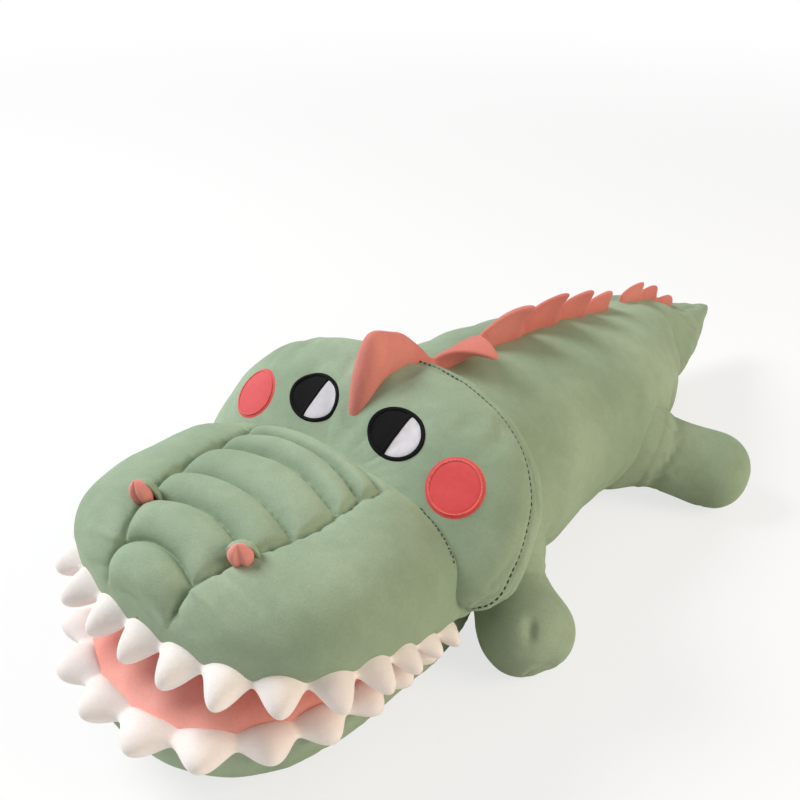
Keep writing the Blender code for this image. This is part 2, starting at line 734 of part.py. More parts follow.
def crest_strip(name, front, rear, spikes, height, lean, base, origin, fade=1.0, apex=CREST_APEX_SHARE):
    """A padded strip along the spine with a rounded spike at each pitch, leaning to the left side."""
    crown = CREST_APEX_HALF_SHARE
    per_spike = (0, apex / 2, apex - crown, apex + crown, (1 + apex) / 2)
    stations = [(front, 0.0)]
    for spike in range(spikes):
        for step, part in enumerate(per_spike):
            share = (spike + part) / spikes
            tall = CREST_RING_SHARES[step] * blend(1, fade, (spike + 1 / 2) / spikes)
            if share > 0:
                stations.append((blend(front, rear, share), tall))
    stations.append((rear, 0.0))
    rings = []
    up = Vector((0, 0, 1))
    left = Vector((1, 0, 0))
    for y, tall in stations:
        foot = Vector((0, y, base(y) - CREST_SINK))
        rise = up * math.cos(lean) + left * math.sin(lean)
        across = left * math.cos(lean) - up * math.sin(lean)
        full = CREST_SINK + blend(SADDLE_HEIGHT, height, tall)
        half = CREST_THICKNESS / 2
        points = []
        for along, side in CREST_SECTION_SHARES:
            points.append(foot + rise * full * along + across * half * side)
        rings.append(points)
    return loft(name, rings, origin, "crest velour")


def drawn_in(made, amount):
    """Moves every point of a form inwards along its normal."""
    for vert in made.data.vertices:
        vert.co -= vert.normal * amount
    return made


def stuffed(outer, hollow, core, cutters, inner_cutters, core_cutters):
    """Turns three nested forms into an open cover and the filling that it holds."""
    for cutter in cutters:
        boolean(outer, cutter)
    for cutter in inner_cutters:
        boolean(hollow, cutter)
    boolean(outer, hollow)
    guide(hollow)
    for cutter in core_cutters:
        boolean(core, cutter)
    core.data.materials[0] = material("white fibre")


def back_height(form, x, y):
    depsgraph = bpy.context.evaluated_depsgraph_get()
    tree = BVHTree.FromObject(form, depsgraph)
    shift = form.matrix_world.translation
    place, _, _, _ = tree.ray_cast(Vector((x, y, 2 * TORSO_HEIGHT)) - shift, Vector((0, 0, -1)))
    return (place + shift).z if place else None


def build_all():
    clear_scene()

    # Whole forms, kept as guides that other pieces are cut by
    torso_skin = guide(drawn_in(torso_form("torso form", 0, SEGMENTS), -GAP))
    hood_skin = guide(drawn_in(hood_form("hood form", 0, SEGMENTS), -GAP))
    snout_skin = guide(drawn_in(snout_form("snout form", 0, SEGMENTS), -GAP))
    jaw_skin = guide(drawn_in(jaw_form("jaw form", 0, SEGMENTS), -GAP))
    tail_skin = guide(drawn_in(tail_form("tail form", 0, SEGMENTS), -GAP))

    sides = (("left", 1), ("right", -1))
    roots = []
    for pair, root, ball in (("front", FRONT_ROOT, FRONT_BALL), ("hind", HIND_ROOT, HIND_BALL)):
        for side, sign in sides:
            centre = Vector((root.x * sign, root.y, root.z))
            roots.append((pair + " " + side, centre, ball, SOCKET_SEGMENTS))
    roots.append(("tail", Vector((0, TAIL_BALL_Y, TAIL_BALL_Z)), TAIL_BALL, TAIL_SOCKET_SEGMENTS))

    def sockets(growth, label):
        made = []
        for who, centre, ball, segments in roots:
            name = "socket " + who + " " + label
            made.append(ball_guide(name, centre, ball + growth, segments))
        made.append(seat_guide("jaw seat " + label, HINGE_RADIUS + growth))
        return made

    outer_sockets = sockets(GAP, "outside")
    wall_sockets = sockets(GAP + WALL, "wall")
    core_sockets = sockets(2 * GAP + WALL, "core")

    # Torso
    torso = torso_form("torso_cover", 0, SEGMENTS)
    hollow = torso_form("torso hollow", WALL, INNER_SEGMENTS)
    core = drawn_in(torso_form("torso_filling", WALL, INNER_SEGMENTS), GAP)
    stuffed(torso, hollow, core, [hood_skin] + outer_sockets, wall_sockets, [hood_skin] + core_sockets)

    # Head
    head = hood_form("head_cover", 0, SEGMENTS)
    hollow = hood_form("head hollow", WALL, INNER_SEGMENTS, neck_reach=OVERRUN)
    core = drawn_in(hood_form("head_filling", WALL, INNER_SEGMENTS), GAP)
    stuffed(head, hollow, core, [outer_sockets[-1]], [wall_sockets[-1]], [core_sockets[-1]])

    # Snout and palate
    rim = (UPPER_RIM_REAR_Z, UPPER_RIM_FRONT_Z, SNOUT_FRONT)
    under_rim = rim_guide("space under upper rim", *rim, -1, 0)
    palate_space = rim_guide("space of palate", *rim, -1, -GAP)
    snout = snout_form("snout_cover", 0, SEGMENTS)
    hollow = snout_form("snout hollow", WALL + ROLL_DEPTH, SEGMENTS, fine=False)
    core = drawn_in(snout_form("snout_filling", WALL + ROLL_DEPTH, SEGMENTS, fine=False), GAP)
    stuffed(snout, hollow, core, [under_rim, hood_skin], [], [hood_skin])
    palate = snout_form("palate_lining", 0, SEGMENTS)
    palate.data.materials[0] = material("pink velour")
    boolean(palate, palate_space, "INTERSECT")
    boolean(palate, hollow)
    boolean(palate, hood_skin)

    # Lower jaw
    origin = (0, HINGE_Y, HINGE_Z)
    rim = (LOWER_RIM_REAR_Z, LOWER_RIM_FRONT_Z, JAW_FRONT)
    over_rim = rim_guide("space over lower rim", *rim, 1, 0)
    lining_space = rim_guide("space of jaw lining", *rim, 1, GAP)
    jaw = jaw_form("jaw_cover", 0, SEGMENTS)
    hollow = jaw_form("jaw hollow", WALL, INNER_SEGMENTS)
    core = drawn_in(jaw_form("jaw_filling", WALL, INNER_SEGMENTS), GAP)
    stuffed(jaw, hollow, core, [over_rim], [], [])
    lining = jaw_form("jaw_lining", 0, SEGMENTS)
    lining.data.materials[0] = material("pink velour")
    boolean(lining, lining_space, "INTERSECT")
    boolean(lining, hollow)

    # Teeth
    path = rim_path(snout_section, upper_rim, SNOUT_FRONT)
    teeth = teeth_row("upper_teeth", path, UPPER_TEETH, UPPER_TEETH_GATHER, UPPER_TOOTH_LENGTH,
                      UPPER_TOOTH_DROOP, (0, 0, 0))
    boolean(teeth, snout_skin)
    boolean(teeth, hood_skin)
    path = rim_path(jaw_section, lower_rim, JAW_FRONT)
    teeth = teeth_row("lower_teeth", path, LOWER_TEETH, LOWER_TEETH_GATHER, LOWER_TOOTH_LENGTH,
                      LOWER_TOOTH_DROOP, origin)
    boolean(teeth, jaw_skin)

    # Tail
    outer = tail_form("tail_cover", 0, SEGMENTS)
    hollow = tail_form("tail hollow", WALL, INNER_SEGMENTS, root_reach=OVERRUN)
    core = drawn_in(tail_form("tail_filling", WALL, INNER_SEGMENTS), GAP)
    stuffed(outer, hollow, core, [], [], [])

    # Legs
    for pair, root, paw, ball, club, tip in (
        ("front", FRONT_ROOT, FRONT_PAW, FRONT_BALL, FRONT_CLUB, FRONT_TIP),
        ("hind", HIND_ROOT, HIND_PAW, HIND_BALL, HIND_CLUB, HIND_TIP),
    ):
        for side, sign in sides:
            name = side + "_" + pair + "_leg"
            centre = Vector((root.x * sign, root.y, root.z))
            end = Vector((paw.x * sign, paw.y, paw.z))
            sizes = (centre, end, ball, club, tip)
            outer = limb_form(name + "_cover", *sizes, 0, LIMB_SEGMENTS)
            hollow = limb_form(name + " hollow", *sizes, WALL, LIMB_INNER_SEGMENTS, root_reach=OVERRUN)
            core = drawn_in(limb_form(name + "_filling", *sizes, WALL, LIMB_INNER_SEGMENTS), GAP)
            stuffed(outer, hollow, core, [], [], [])

    # Crest
    def over_root(y):
        heights = [back_height(form, 0, y) for form in (torso_skin, hood_skin)]
        return max(height for height in heights if height)

    def over_tail(y):
        return back_height(tail_skin, 0, y)

    strip = crest_strip("head_crest", HEAD_CREST_FRONT, HEAD_CREST_REAR, 1, HEAD_CREST_HEIGHT, 0, over_root,
                        (0, 0, 0), apex=HEAD_CREST_APEX_SHARE)
    boolean(strip, hood_skin)
    boolean(strip, torso_skin)
    strip = crest_strip("back_crest", BACK_CREST_FRONT, BACK_CREST_REAR, BACK_SPIKES, BACK_SPIKE_HEIGHT,
                        BACK_SPIKE_LEAN, over_root, (0, 0, 0), fade=BACK_FADE_SHARE)
    boolean(strip, hood_skin)
    boolean(strip, torso_skin)
    strip = crest_strip("tail_crest", TAIL_CREST_FRONT, TAIL_CREST_REAR, TAIL_SPIKES, TAIL_SPIKE_HEIGHT,
                        TAIL_SPIKE_LEAN, over_tail, (0, TAIL_BALL_Y, TAIL_BALL_Z), fade=TAIL_FADE_SHARE)
    boolean(strip, tail_skin)

    # Eyes, cheeks and nostrils
    for side, sign in sides:
        place, normal = surface_under(hood_skin, EYE_X * sign, EYE_Z)
        inner = EYE_RADIUS - EYE_RIM
        half = math.degrees(math.asin(GAP / inner))
        rim = disc(side + "_eye_rim", place, normal, "black embroidery", EYE_RADIUS, inner + GAP)
        boolean(rim, hood_skin)
        for part, turned, finish in (("black", 90, "black embroidery"), ("white", -90, "white embroidery")):
            piece = disc(side + "_eye_" + part, place, normal, finish, inner,
                         start=turned - EYE_TURN + half, sweep=EYE_HALF_SWEEP - 2 * half)
            boolean(piece, hood_skin)
        place, normal = surface_under(hood_skin, CHEEK_X * sign, CHEEK_Z)
        patch = disc(side + "_cheek_patch", place, normal, "coral satin", CHEEK_RADIUS,
                     above=CHEEK_THICKNESS)
        boolean(patch, hood_skin)
        disc(side + "_cheek_stitching", place, normal, "coral thread", CHEEK_RING_RADIUS,
             CHEEK_RING_RADIUS - CHEEK_RING_WIDTH, above=CHEEK_RING_WIDTH / 2, lift=CHEEK_THICKNESS + GAP)
        height = back_height(snout_skin, NOSTRIL_X * sign, NOSTRIL_Y)
        place = Vector((NOSTRIL_X * sign, NOSTRIL_Y, height))
        normal = Vector((0, -math.sin(NOSTRIL_LEAN), math.cos(NOSTRIL_LEAN)))
        hole = NOSTRIL_RADIUS - NOSTRIL_WALL
        cup = disc(side + "_nostril_cup", place, normal, "green velour", NOSTRIL_RADIUS, hole,
                   above=NOSTRIL_HEIGHT, round_steps=NOSTRIL_SEGMENTS)
        boolean(cup, snout_skin)
        petal = disc(side + "_nostril_petal", place, normal, "pink velour", hole - GAP, above=PETAL_HEIGHT,
                     round_steps=NOSTRIL_SEGMENTS)
        boolean(petal, snout_skin)


if __name__ == "__main__":
    build_all()
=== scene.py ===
# %% [markdown]
# # A stuffed plush crocodile
# The toy is short pile cloth over loose fibre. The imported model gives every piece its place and
# its body, and this lesson dresses it: each stiff CAD solid gives way to a soft form of the same
# size with seams, rolls and wrinkles. Metres, +Z up, the snout along -Y, the toy's left at +X.

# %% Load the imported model
import math

import bmesh
import bpy
import numpy as np
from mathutils import Matrix, Vector
from mathutils.bvhtree import BVHTree


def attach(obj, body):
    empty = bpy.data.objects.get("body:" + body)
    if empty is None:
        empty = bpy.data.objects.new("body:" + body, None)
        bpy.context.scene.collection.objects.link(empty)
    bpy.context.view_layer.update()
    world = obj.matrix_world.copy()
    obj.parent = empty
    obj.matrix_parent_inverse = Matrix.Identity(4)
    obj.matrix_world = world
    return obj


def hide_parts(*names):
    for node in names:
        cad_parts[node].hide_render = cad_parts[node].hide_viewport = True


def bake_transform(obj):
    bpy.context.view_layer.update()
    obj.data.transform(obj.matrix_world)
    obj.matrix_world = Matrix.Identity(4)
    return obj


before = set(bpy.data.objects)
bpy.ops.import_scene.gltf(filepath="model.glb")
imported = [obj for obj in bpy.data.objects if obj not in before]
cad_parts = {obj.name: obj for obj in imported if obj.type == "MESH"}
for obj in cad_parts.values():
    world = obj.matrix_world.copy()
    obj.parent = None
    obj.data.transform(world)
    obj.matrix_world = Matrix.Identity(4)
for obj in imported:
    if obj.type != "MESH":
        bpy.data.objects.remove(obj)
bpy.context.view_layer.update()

MM = 0.001
SIDES = (("left", 1), ("right", -1))
FLOOR_GAP = 0.2 * MM

# %% [markdown]
# ## From numbers to cloth
# A stuffed form is a row of closed outlines, one behind another. Kept as a grid of points it is
# easy to push in and out before it becomes a mesh, which is how seams and rolls are made here.


# %% Grids of points and the meshes made from them
def grid_normals(points, closed=True):
    """The outward direction at each point of a grid of outlines."""
    along = np.gradient(points, axis=0)
    if closed:
        across = np.roll(points, -1, axis=1) - np.roll(points, 1, axis=1)
    else:
        across = np.gradient(points, axis=1)
    normal = np.cross(along, across)
    normal /= np.maximum(np.linalg.norm(normal, axis=2, keepdims=True), 1e-12)
    outward = points - points.mean(axis=1, keepdims=True)
    return normal if (normal * outward).sum() > 0 else -normal


def put_in_scene(name, data):
    thing = bpy.data.objects.new(name, data)
    bpy.context.scene.collection.objects.link(thing)
    return thing


def strip_faces(first, rows, count, closed=True):
    """Four-sided faces between neighbouring outlines, whose points start at a given number."""
    faces = []
    for low in range(first, first + (rows - 1) * count, count):
        for step in range(count if closed else count - 1):
            after = (step + 1) % count
            faces.append((low + step, low + after, low + count + after, low + count + step))
    return faces


def mesh_from_grid(name, points, closed=True, caps=True):
    """Joins the outlines of a grid and closes the two ends with a fan."""
    rows, count, _ = points.shape
    verts = points.reshape(-1, 3).tolist()
    faces = strip_faces(0, rows, count, closed)
    if caps:
        for row in (0, rows - 1):
            hub = len(verts)
            verts.append(points[row].mean(axis=0).tolist())
            faces += [(row * count + step, row * count + (step + 1) % count, hub)
                      for step in range(count)]
    mesh = bpy.data.meshes.new(name)
    mesh.from_pydata(verts, [], faces)
    build = bmesh.new()
    build.from_mesh(mesh)
    bmesh.ops.recalc_face_normals(build, faces=build.faces)
    build.to_mesh(mesh)
    build.free()
    mesh.shade_smooth()
    return put_in_scene(name, mesh)


def soft_skin(name, points, **edges):
    """The mesh of a grid, rounded with one subdivision that is applied at once."""
    piece = mesh_from_grid(name, points, **edges)
    rounder = piece.modifiers.new("round", "SUBSURF")
    rounder.levels = rounder.render_levels = 1
    bpy.context.view_layer.update()
    shaped = piece.evaluated_get(bpy.context.evaluated_depsgraph_get())
    mesh = bpy.data.meshes.new_from_object(shaped)
    piece.modifiers.clear()
    old = piece.data
    piece.data = mesh
    bpy.data.meshes.remove(old)
    mesh.shade_smooth()
    return piece


def place_on(piece, body, finish, *nodes):
    """Rides a finished piece on its body, gives it its finish and takes over its CAD nodes."""
    material, slot = finish
    piece.data.materials.append(material)
    if body:
        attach(piece, body)
    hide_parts(*nodes)


def tree_of(piece):
    """The surface of a piece, ready to be asked what lies on it."""
    return BVHTree.FromObject(piece, bpy.context.evaluated_depsgraph_get())


# %% [markdown]
# ## Small shapes of curves
# Stuffed cloth is never round and never square, so the outlines are superellipses with their own
# height above and below. Wrinkles come from a few crossing waves, which repeat exactly each run.


# %% Curves, bumps and waves
def bulge(distance, reach, power):
    share = np.clip(distance / reach, 0, 1)
    return (1 - share ** power) ** (1 / power)


def ease(share):
    share = np.clip(share, 0, 1)
    return share * share * (3 - 2 * share)


def spow(value, power):
    return np.sign(value) * np.abs(value) ** power


def outline(angle, wide, up, down, power_up, power_down):
    """Across and up places on a superellipse, for arrays that fit together."""
    above = np.sin(angle) > 0
    power = np.where(above, power_up, power_down)
    across = wide * spow(np.cos(angle), 2 / power)
    rise = np.where(above, up, down) * spow(np.sin(angle), 2 / power)
    return across, rise


WAVES_CROSSING = 7


def waves(points, size, seed, stretch=(1, 1, 1)):
    """A soft field between about -1 and 1 whose bumps are about one size across."""
    random = np.random.default_rng(seed)
    total = np.zeros(points.shape[:-1])
    for _ in range(WAVES_CROSSING):
        way = random.normal(size=3)
        way /= np.linalg.norm(way)
        pace = 2 * math.pi / (size * random.uniform(1.2, 2.6))
        total += np.sin((points * np.array(stretch)) @ way * pace + random.uniform(0, 2 * math.pi))
    return total / math.sqrt(WAVES_CROSSING)


def groove(distance, width):
    """1 on a seam, falling to 0 within about two widths of it."""
    return np.exp(-np.abs(distance / width) ** 1.4)


def fine_angles(count):
    return 2 * math.pi * (np.arange(count) + 0.5) / count


def standing(across, y, up):
    """Outlines that stand one behind another at the places y."""
    return np.stack([across, np.broadcast_to(y[:, None], across.shape), up], axis=2)


def travelled(line):
    """How far one has walked along a line at each of its points."""
    return np.concatenate([[0], np.cumsum(np.linalg.norm(np.diff(line, axis=0), axis=1))])


# %% [markdown]
# ## Letting the cloth settle
# Real covers are cut a little larger than the form they hold, so fibre pushes them out between
# the seams and the spare cloth wrinkles. Blender's cloth does that here: held rows stay, pressure
# fills the rest, and no point may travel further than a cap.


# %% Inflate a grid between the places where it is held
CLOTH_STEPS = 20
CLOTH = {"quality": 5, "mass": 0.2, "tension_stiffness": 15, "compression_stiffness": 15,
         "shear_stiffness": 5, "bending_stiffness": 0.4, "air_damping": 2, "use_pressure": True,
         "uniform_pressure_force": 4.0, "vertex_group_mass": "held"}


def settled(points, held, spare, cap):
    rows, count, _ = points.shape
    scene = bpy.context.scene
    piece = mesh_from_grid("settling", points)
    group = piece.vertex_groups.new(name="held")
    weights = np.concatenate([held.reshape(-1), [1.0, 1.0]])
    for index in np.nonzero(weights > 0.01)[0]:
        group.add([int(index)], float(weights[index]), "REPLACE")
    cloth = piece.modifiers.new("cloth", "CLOTH")
    for setting, value in CLOTH.items():
        setattr(cloth.settings, setting, value)
    cloth.settings.shrink_min = -spare
    cloth.settings.effector_weights.gravity = 0
    cloth.collision_settings.use_collision = False
    cloth.point_cache.frame_start = 1
    cloth.point_cache.frame_end = CLOTH_STEPS
    for step in range(1, CLOTH_STEPS + 1):
        scene.frame_set(step)
    shaped = piece.evaluated_get(bpy.context.evaluated_depsgraph_get())
    moved = np.empty(len(shaped.data.vertices) * 3)
    shaped.data.vertices.foreach_get("co", moved)
    moved = moved.reshape(-1, 3)[:rows * count].reshape(points.shape)
    bpy.data.objects.remove(piece)
    scene.frame_set(1)
    shift = moved - points
    length = np.linalg.norm(shift, axis=2, keepdims=True)
    shift *= np.minimum(1, cap / np.maximum(length, 1e-9))
    print(f"settled {rows * count} points, moved up to {length.max() / MM:.1f} mm")
    return points + shift


# %% [markdown]
# ## Finishes
# Short pile velour looks soft because its hairs catch light at a glancing angle and lie in
# patches that read lighter or darker. A sheen gives the first, two scales of noise the second,
# and a fine bump breaks the surface up. One small class lets shader maths be written as maths.


# %% A socket that can be added and multiplied, and a maker of materials
class Wire:
    """One value in a material. Sums and products of it add their Math nodes."""

    def __init__(self, finish, socket):
        self.finish = finish
        self.socket = socket

    def __add__(self, other):
        return self.finish.maths("ADD", self, other)

    def __mul__(self, other):
        return self.finish.maths("MULTIPLY", self, other)


class Finish:
    """The nodes of a material, or of the room, under construction."""

    def __init__(self, owner, shader="Principled BSDF"):
        owner.use_nodes = True
        self.owner = owner
        self.tree = owner.node_tree
        self.shader = self.tree.nodes[shader]

    def fill(self, node, sockets):
        for name, value in sockets.items():
            if isinstance(value, Wire):
                self.tree.links.new(value.socket, node.inputs[name])
            else:
                node.inputs[name].default_value = value

    def node(self, kind, output, sockets=None, **settings):
        """Adds a node with its settings and inputs, and gives one of its outputs."""
        made = self.tree.nodes.new(kind)
        for name, value in settings.items():
            setattr(made, name, value)
        self.fill(made, sockets or {})
        return Wire(self, made.outputs[output])

    def maths(self, operation, first, second):
        return self.node("ShaderNodeMath", "Value", {0: first, 1: second}, operation=operation)

    def place(self):
        return self.node("ShaderNodeTexCoord", "Object")

    def noise(self, size, detail=3.0, roughness=0.5, place=None):
        sockets = {"Vector": place or self.place(), "Scale": 1 / size, "Detail": detail,
                   "Roughness": roughness}
        return self.node("ShaderNodeTexNoise", "Fac", sockets)

    def between(self, value, low, high):
        """Stretches a noise so that low becomes 0 and high becomes 1."""
        sockets = {"Value": value, "From Min": low, "From Max": high}
        return self.node("ShaderNodeMapRange", "Result", sockets, interpolation_type="SMOOTHSTEP")

    def mix(self, share, first, second):
        # A Mix node has its colours at inputs 6 and 7 and gives the mixed colour at output 2
        return self.node("ShaderNodeMix", 2, {0: share, 6: first, 7: second}, data_type="RGBA")

    def bump(self, height, distance, strength, **under):
        sockets = {"Height": height, "Distance": distance, "Strength": strength}
        return self.node("ShaderNodeBump", "Normal", {**sockets, **under})

    def done(self, **sockets):
        self.fill(self.shader, {name.replace("_", " "): value for name, value in sockets.items()})
        return self.owner


# %% Velour, satin, thread and the other cloths
NAP = 22 * MM


def tint(colour):
    """A colour as it is seen on a screen, from 0 to 255, turned into Blender's linear values."""
    shares = [value / 255 for value in colour]
    linear = [x / 12.92 if x <= 0.04045 else ((x + 0.055) / 1.055) ** 2.4 for x in shares]
    return (*linear, 1.0)


def velour(name, *tints, slot=None, pile=0.9 * MM, depth=0.35 * MM):
    """Brushed short pile: patches of nap, fine speckle, a soft edge glow and a fuzzy bump."""
    light, middle, dark = map(tint, tints)
    finish = Finish(bpy.data.materials.new(name))
    place = finish.place()
    patches = finish.between(finish.noise(NAP, 4, 0.6, place), 0.32, 0.68)
    wide = finish.between(finish.noise(NAP * 4, 2, 0.5, place), 0.3, 0.7)
    speckle = finish.between(finish.noise(pile, 2, 0.7, place), 0.3, 0.7)
    colour = finish.mix(wide, middle, light)
    colour = finish.mix(patches * 0.28, colour, dark)
    colour = finish.mix(speckle * 0.22, colour, dark)
    fuzz = finish.bump(finish.noise(pile, 3, 0.7, place), depth, 0.6)
    soft = finish.bump(finish.noise(6 * MM, 3, 0.55, place), 0.5 * MM, 0.5, Normal=fuzz)
    return finish.done(Base_Color=colour, Roughness=0.86, Normal=soft, Sheen_Weight=0.35,
                       Sheen_Roughness=0.45, Sheen_Tint=light, Specular_IOR_Level=0.15), slot or name


def stitched(name, light, dark, pitch=0.55 * MM, turn=0.0, depth=0.25 * MM, roughness=0.55,
             sheen=0.15, gloss=0.3):
    """Satin stitch or woven satin: fine parallel threads with a soft shine."""
    finish = Finish(bpy.data.materials.new(name))
    sockets = {"Vector": finish.place(), "Rotation": (0, 0.5, turn)}
    turned = finish.node("ShaderNodeMapping", "Vector", sockets)
    sockets = {"Vector": turned, "Scale": 2 * math.pi / (20 * pitch), "Distortion": 0.6, "Detail": 1.0}
    threads = finish.node("ShaderNodeTexWave", "Fac", sockets, bands_direction="X")
    wear = finish.between(finish.noise(4 * MM), 0.35, 0.7)
    colour = finish.mix(threads * 0.5 + wear * 0.25, tint(dark), tint(light))
    return finish.done(Base_Color=colour, Roughness=roughness, Normal=finish.bump(threads, depth, 0.7),
                       Sheen_Weight=sheen, Specular_IOR_Level=gloss), name


# A finish is a material and the record's slot. Its tints go from light to dark
GREEN = velour("green_velour", (166, 182, 156), (144, 161, 135), (112, 131, 108))
PINK = velour("pink_velour", (248, 182, 170), (240, 160, 148), (222, 130, 118), depth=0.25 * MM)
CREST = velour("crest_velour", (224, 146, 134), (210, 124, 113), (186, 98, 92))
WHITE = velour("white_velour", (247, 240, 236), (240, 230, 225), (224, 210, 204), depth=0.25 * MM)
NOSTRIL = velour("nostril_velour", (236, 160, 148), (224, 138, 128), (200, 112, 104),
                 slot="pink_velour", pile=0.6 * MM)
BLACK = stitched("black_embroidery", (24, 22, 24), (8, 7, 8), roughness=0.7, sheen=0.0, gloss=0.1)
PUPIL = stitched("white_embroidery", (240, 236, 240), (214, 208, 216))
SATIN = stitched("coral_satin", (226, 84, 84), (208, 66, 68), pitch=0.35 * MM, depth=0.08 * MM)
EDGING = stitched("coral_thread", (236, 118, 108), (214, 84, 80), pitch=0.8 * MM, turn=0.7)
THREAD, _ = stitched("green_thread", (78, 84, 66), (46, 54, 44), pitch=0.4 * MM)
print("finishes:", len(bpy.data.materials))

# %% [markdown]
# ## The body and tail
# Back, belly and tail are one long tapering bag. Its widths and heights are listed along the
# spine and smoothed, the underside is pressed flat by the floor, and the cloth is settled so the
# flanks take soft folds.

# %% Body and tail
SPINE = np.array([
    # place along the spine, half width, top and underside, in millimetres
    (-128, 50, 128, 38), (-118, 66, 140, 18), (-103, 77, 147, 5), (-72, 82, 150, 0), (-33, 83, 146, 0),
    (6, 81, 140, 0), (46, 80, 133, 0), (85, 79, 126, 0), (118, 74, 120, 0), (141, 66, 115, 6),
    (158, 60, 111, 12), (180, 53, 107, 16), (206, 45, 99, 20), (232, 38, 91, 26), (262, 29, 81, 32),
    (292, 20, 71, 38), (318, 12, 64, 42), (336, 6.5, 58, 45), (344, 3, 54, 47),
]) * MM
BODY_ROWS = 150
BODY_COUNT = 96


def along_spine(y):
    """Half width, top and underside at any place, joined smoothly."""
    lanes = []
    for lane in (1, 2, 3):
        raw = np.interp(y, SPINE[:, 0], SPINE[:, lane])
        spread = np.array([1, 4, 6, 4, 1]) / 16
        for _ in range(5):
            raw[2:-2] = np.convolve(raw, spread, "valid")
        lanes.append(raw)
    return lanes


share = np.linspace(0, 1, BODY_ROWS)
body_y = SPINE[0, 0] + (SPINE[-1, 0] - SPINE[0, 0]) * (1 - (1 - share) ** 1.15)
half, top, under = (lane[:, None] for lane in along_spine(body_y))
middle = under + (top - under) * 0.46
angle = fine_angles(BODY_COUNT)[None, :]
across, rise = outline(angle, half, top - middle, middle - under, 2.2, 2.4)
body = standing(across, body_y, middle + rise)
held = np.maximum(ease((body_y - 240 * MM) / (50 * MM))[:, None], body[..., 2] < 3 * MM)
held[body_y < -118 * MM] = 1
body = settled(body, held, spare=0.045, cap=6 * MM)
normals = grid_normals(body)
flank = ease((body[..., 2] - 8 * MM) / (30 * MM))
folds = waves(body, 26 * MM, 4, stretch=(0.5, 1.4, 0.5)) * 0.9 + waves(body, 55 * MM, 5) * 1.4
body += normals * (folds * flank)[..., None] * MM
seam = groove(np.abs(body[..., 0]) - 7 * MM, 2.0 * MM) * (body[..., 2] > middle)
seam *= body_y[:, None] < 300 * MM
body -= normals * (seam * 1.6 * MM)[..., None]
body[..., 2] = np.maximum(body[..., 2], FLOOR_GAP)
skin = soft_skin("body_and_tail_skin", body)
place_on(skin, None, GREEN, "torso_cover", "torso_filling", "tail_cover", "tail_filling")
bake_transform(skin)
print("body and tail:", len(skin.data.vertices), "points")

# %% [markdown]
# ## The head
# The head is a puffed hood: a domed face, a stitched rim in a plane that leans back, and a band
# of cloth that rolls in behind the rim to the neck. The face and rim share one grid.

# %% Head
HOOD_CENTRE = np.array((0, -146, 95)) * MM
HOOD_HALF_WIDTH = 117 * MM
HOOD_UP = 92 * MM
HOOD_DOWN = 34 * MM
HOOD_LEAN = math.radians(40)
HOOD_DOME = 35 * MM
HOOD_BACK = 24 * MM
HOOD_ROWS = 54
NECK_ROWS = 16
HOOD_COUNT = 160
FACING = np.array((0, -math.cos(HOOD_LEAN), math.sin(HOOD_LEAN)))
RISING = np.array((0, math.sin(HOOD_LEAN), math.cos(HOOD_LEAN)))
SIDEWAYS = np.array((1.0, 0, 0))

angle = fine_angles(HOOD_COUNT)[None, :]
turn = np.linspace(-0.9, 1, HOOD_ROWS)
offset = np.where(turn > 0, np.sin(turn * math.pi / 2), turn)
size = np.where(offset > 0, bulge(offset, 1.001, 3), bulge(-0.62 * offset, 1, 3))
reach = np.where(offset > 0, HOOD_DOME, HOOD_BACK) * offset
across, rise = outline(angle, size[:, None] * HOOD_HALF_WIDTH, size[:, None] * HOOD_UP,
                       size[:, None] * HOOD_DOWN, 2.4, 3.2)
face = HOOD_CENTRE + FACING * reach[:, None, None]
face = face + SIDEWAYS * across[..., None] + RISING * rise[..., None]
across, rise = outline(angle, 84 * MM, 40 * MM, 28 * MM, 2.2, 2.6)
neck = standing(across, np.array([-120 * MM]), 100 * MM + rise)
turn = np.linspace(0, math.pi / 2, NECK_ROWS, endpoint=False)[:, None, None]
spread = np.sin(turn)
back = neck + (face[:1] - neck) * np.concatenate([spread, 1 - np.cos(turn), spread], axis=2)
hood = np.concatenate([back, face])
rim_row = NECK_ROWS + int(np.argmin(np.abs(offset - 0.12)))
held = np.zeros(hood.shape[:2])
held[:6] = held[rim_row] = held[-3:] = 1
hood = settled(hood, held, spare=0.02, cap=3 * MM)
normals = grid_normals(hood)
local = hood - HOOD_CENTRE
forward = local @ FACING
rows_from_rim = (np.arange(len(hood)) - rim_row)[:, None] * 2.2 * MM
hood -= normals * (groove(rows_from_rim, 1.6 * MM) * 0.8 * MM)[..., None]
soft = waves(hood, 50 * MM, 11) * 0.9 + waves(hood, 18 * MM, 12) * 0.25
hood += normals * soft[..., None] * MM
# The short pucker where the crest's front end is pulled into the brow
pucker = np.array((0, -160, 151)) * MM
for lean in (-0.45, 0.45):
    away = hood - pucker
    along = away @ (RISING * math.cos(lean) + SIDEWAYS * math.sin(lean))
    aside = away @ (SIDEWAYS * math.cos(lean) - RISING * math.sin(lean))
    depth = groove(aside, 1.6 * MM) * np.exp(-((along - 4 * MM) / (9 * MM)) ** 2) * (forward > 0)
    hood -= normals * (depth * 1.6 * MM)[..., None]
hood_skin = soft_skin("head_skin", hood)
place_on(hood_skin, "root", GREEN, "head_cover", "head_filling")
hood_tree = tree_of(hood_skin)
print("head:", len(hood_skin.data.vertices), "points")

# %% [markdown]
# ## The snout
# A broad muzzle with a top panel gathered into six puffy rolls between two pinched seams, and a
# full cheek panel each side. The rolls swell between narrow valleys, and short wrinkles run from
# the end of each valley into the cheek.

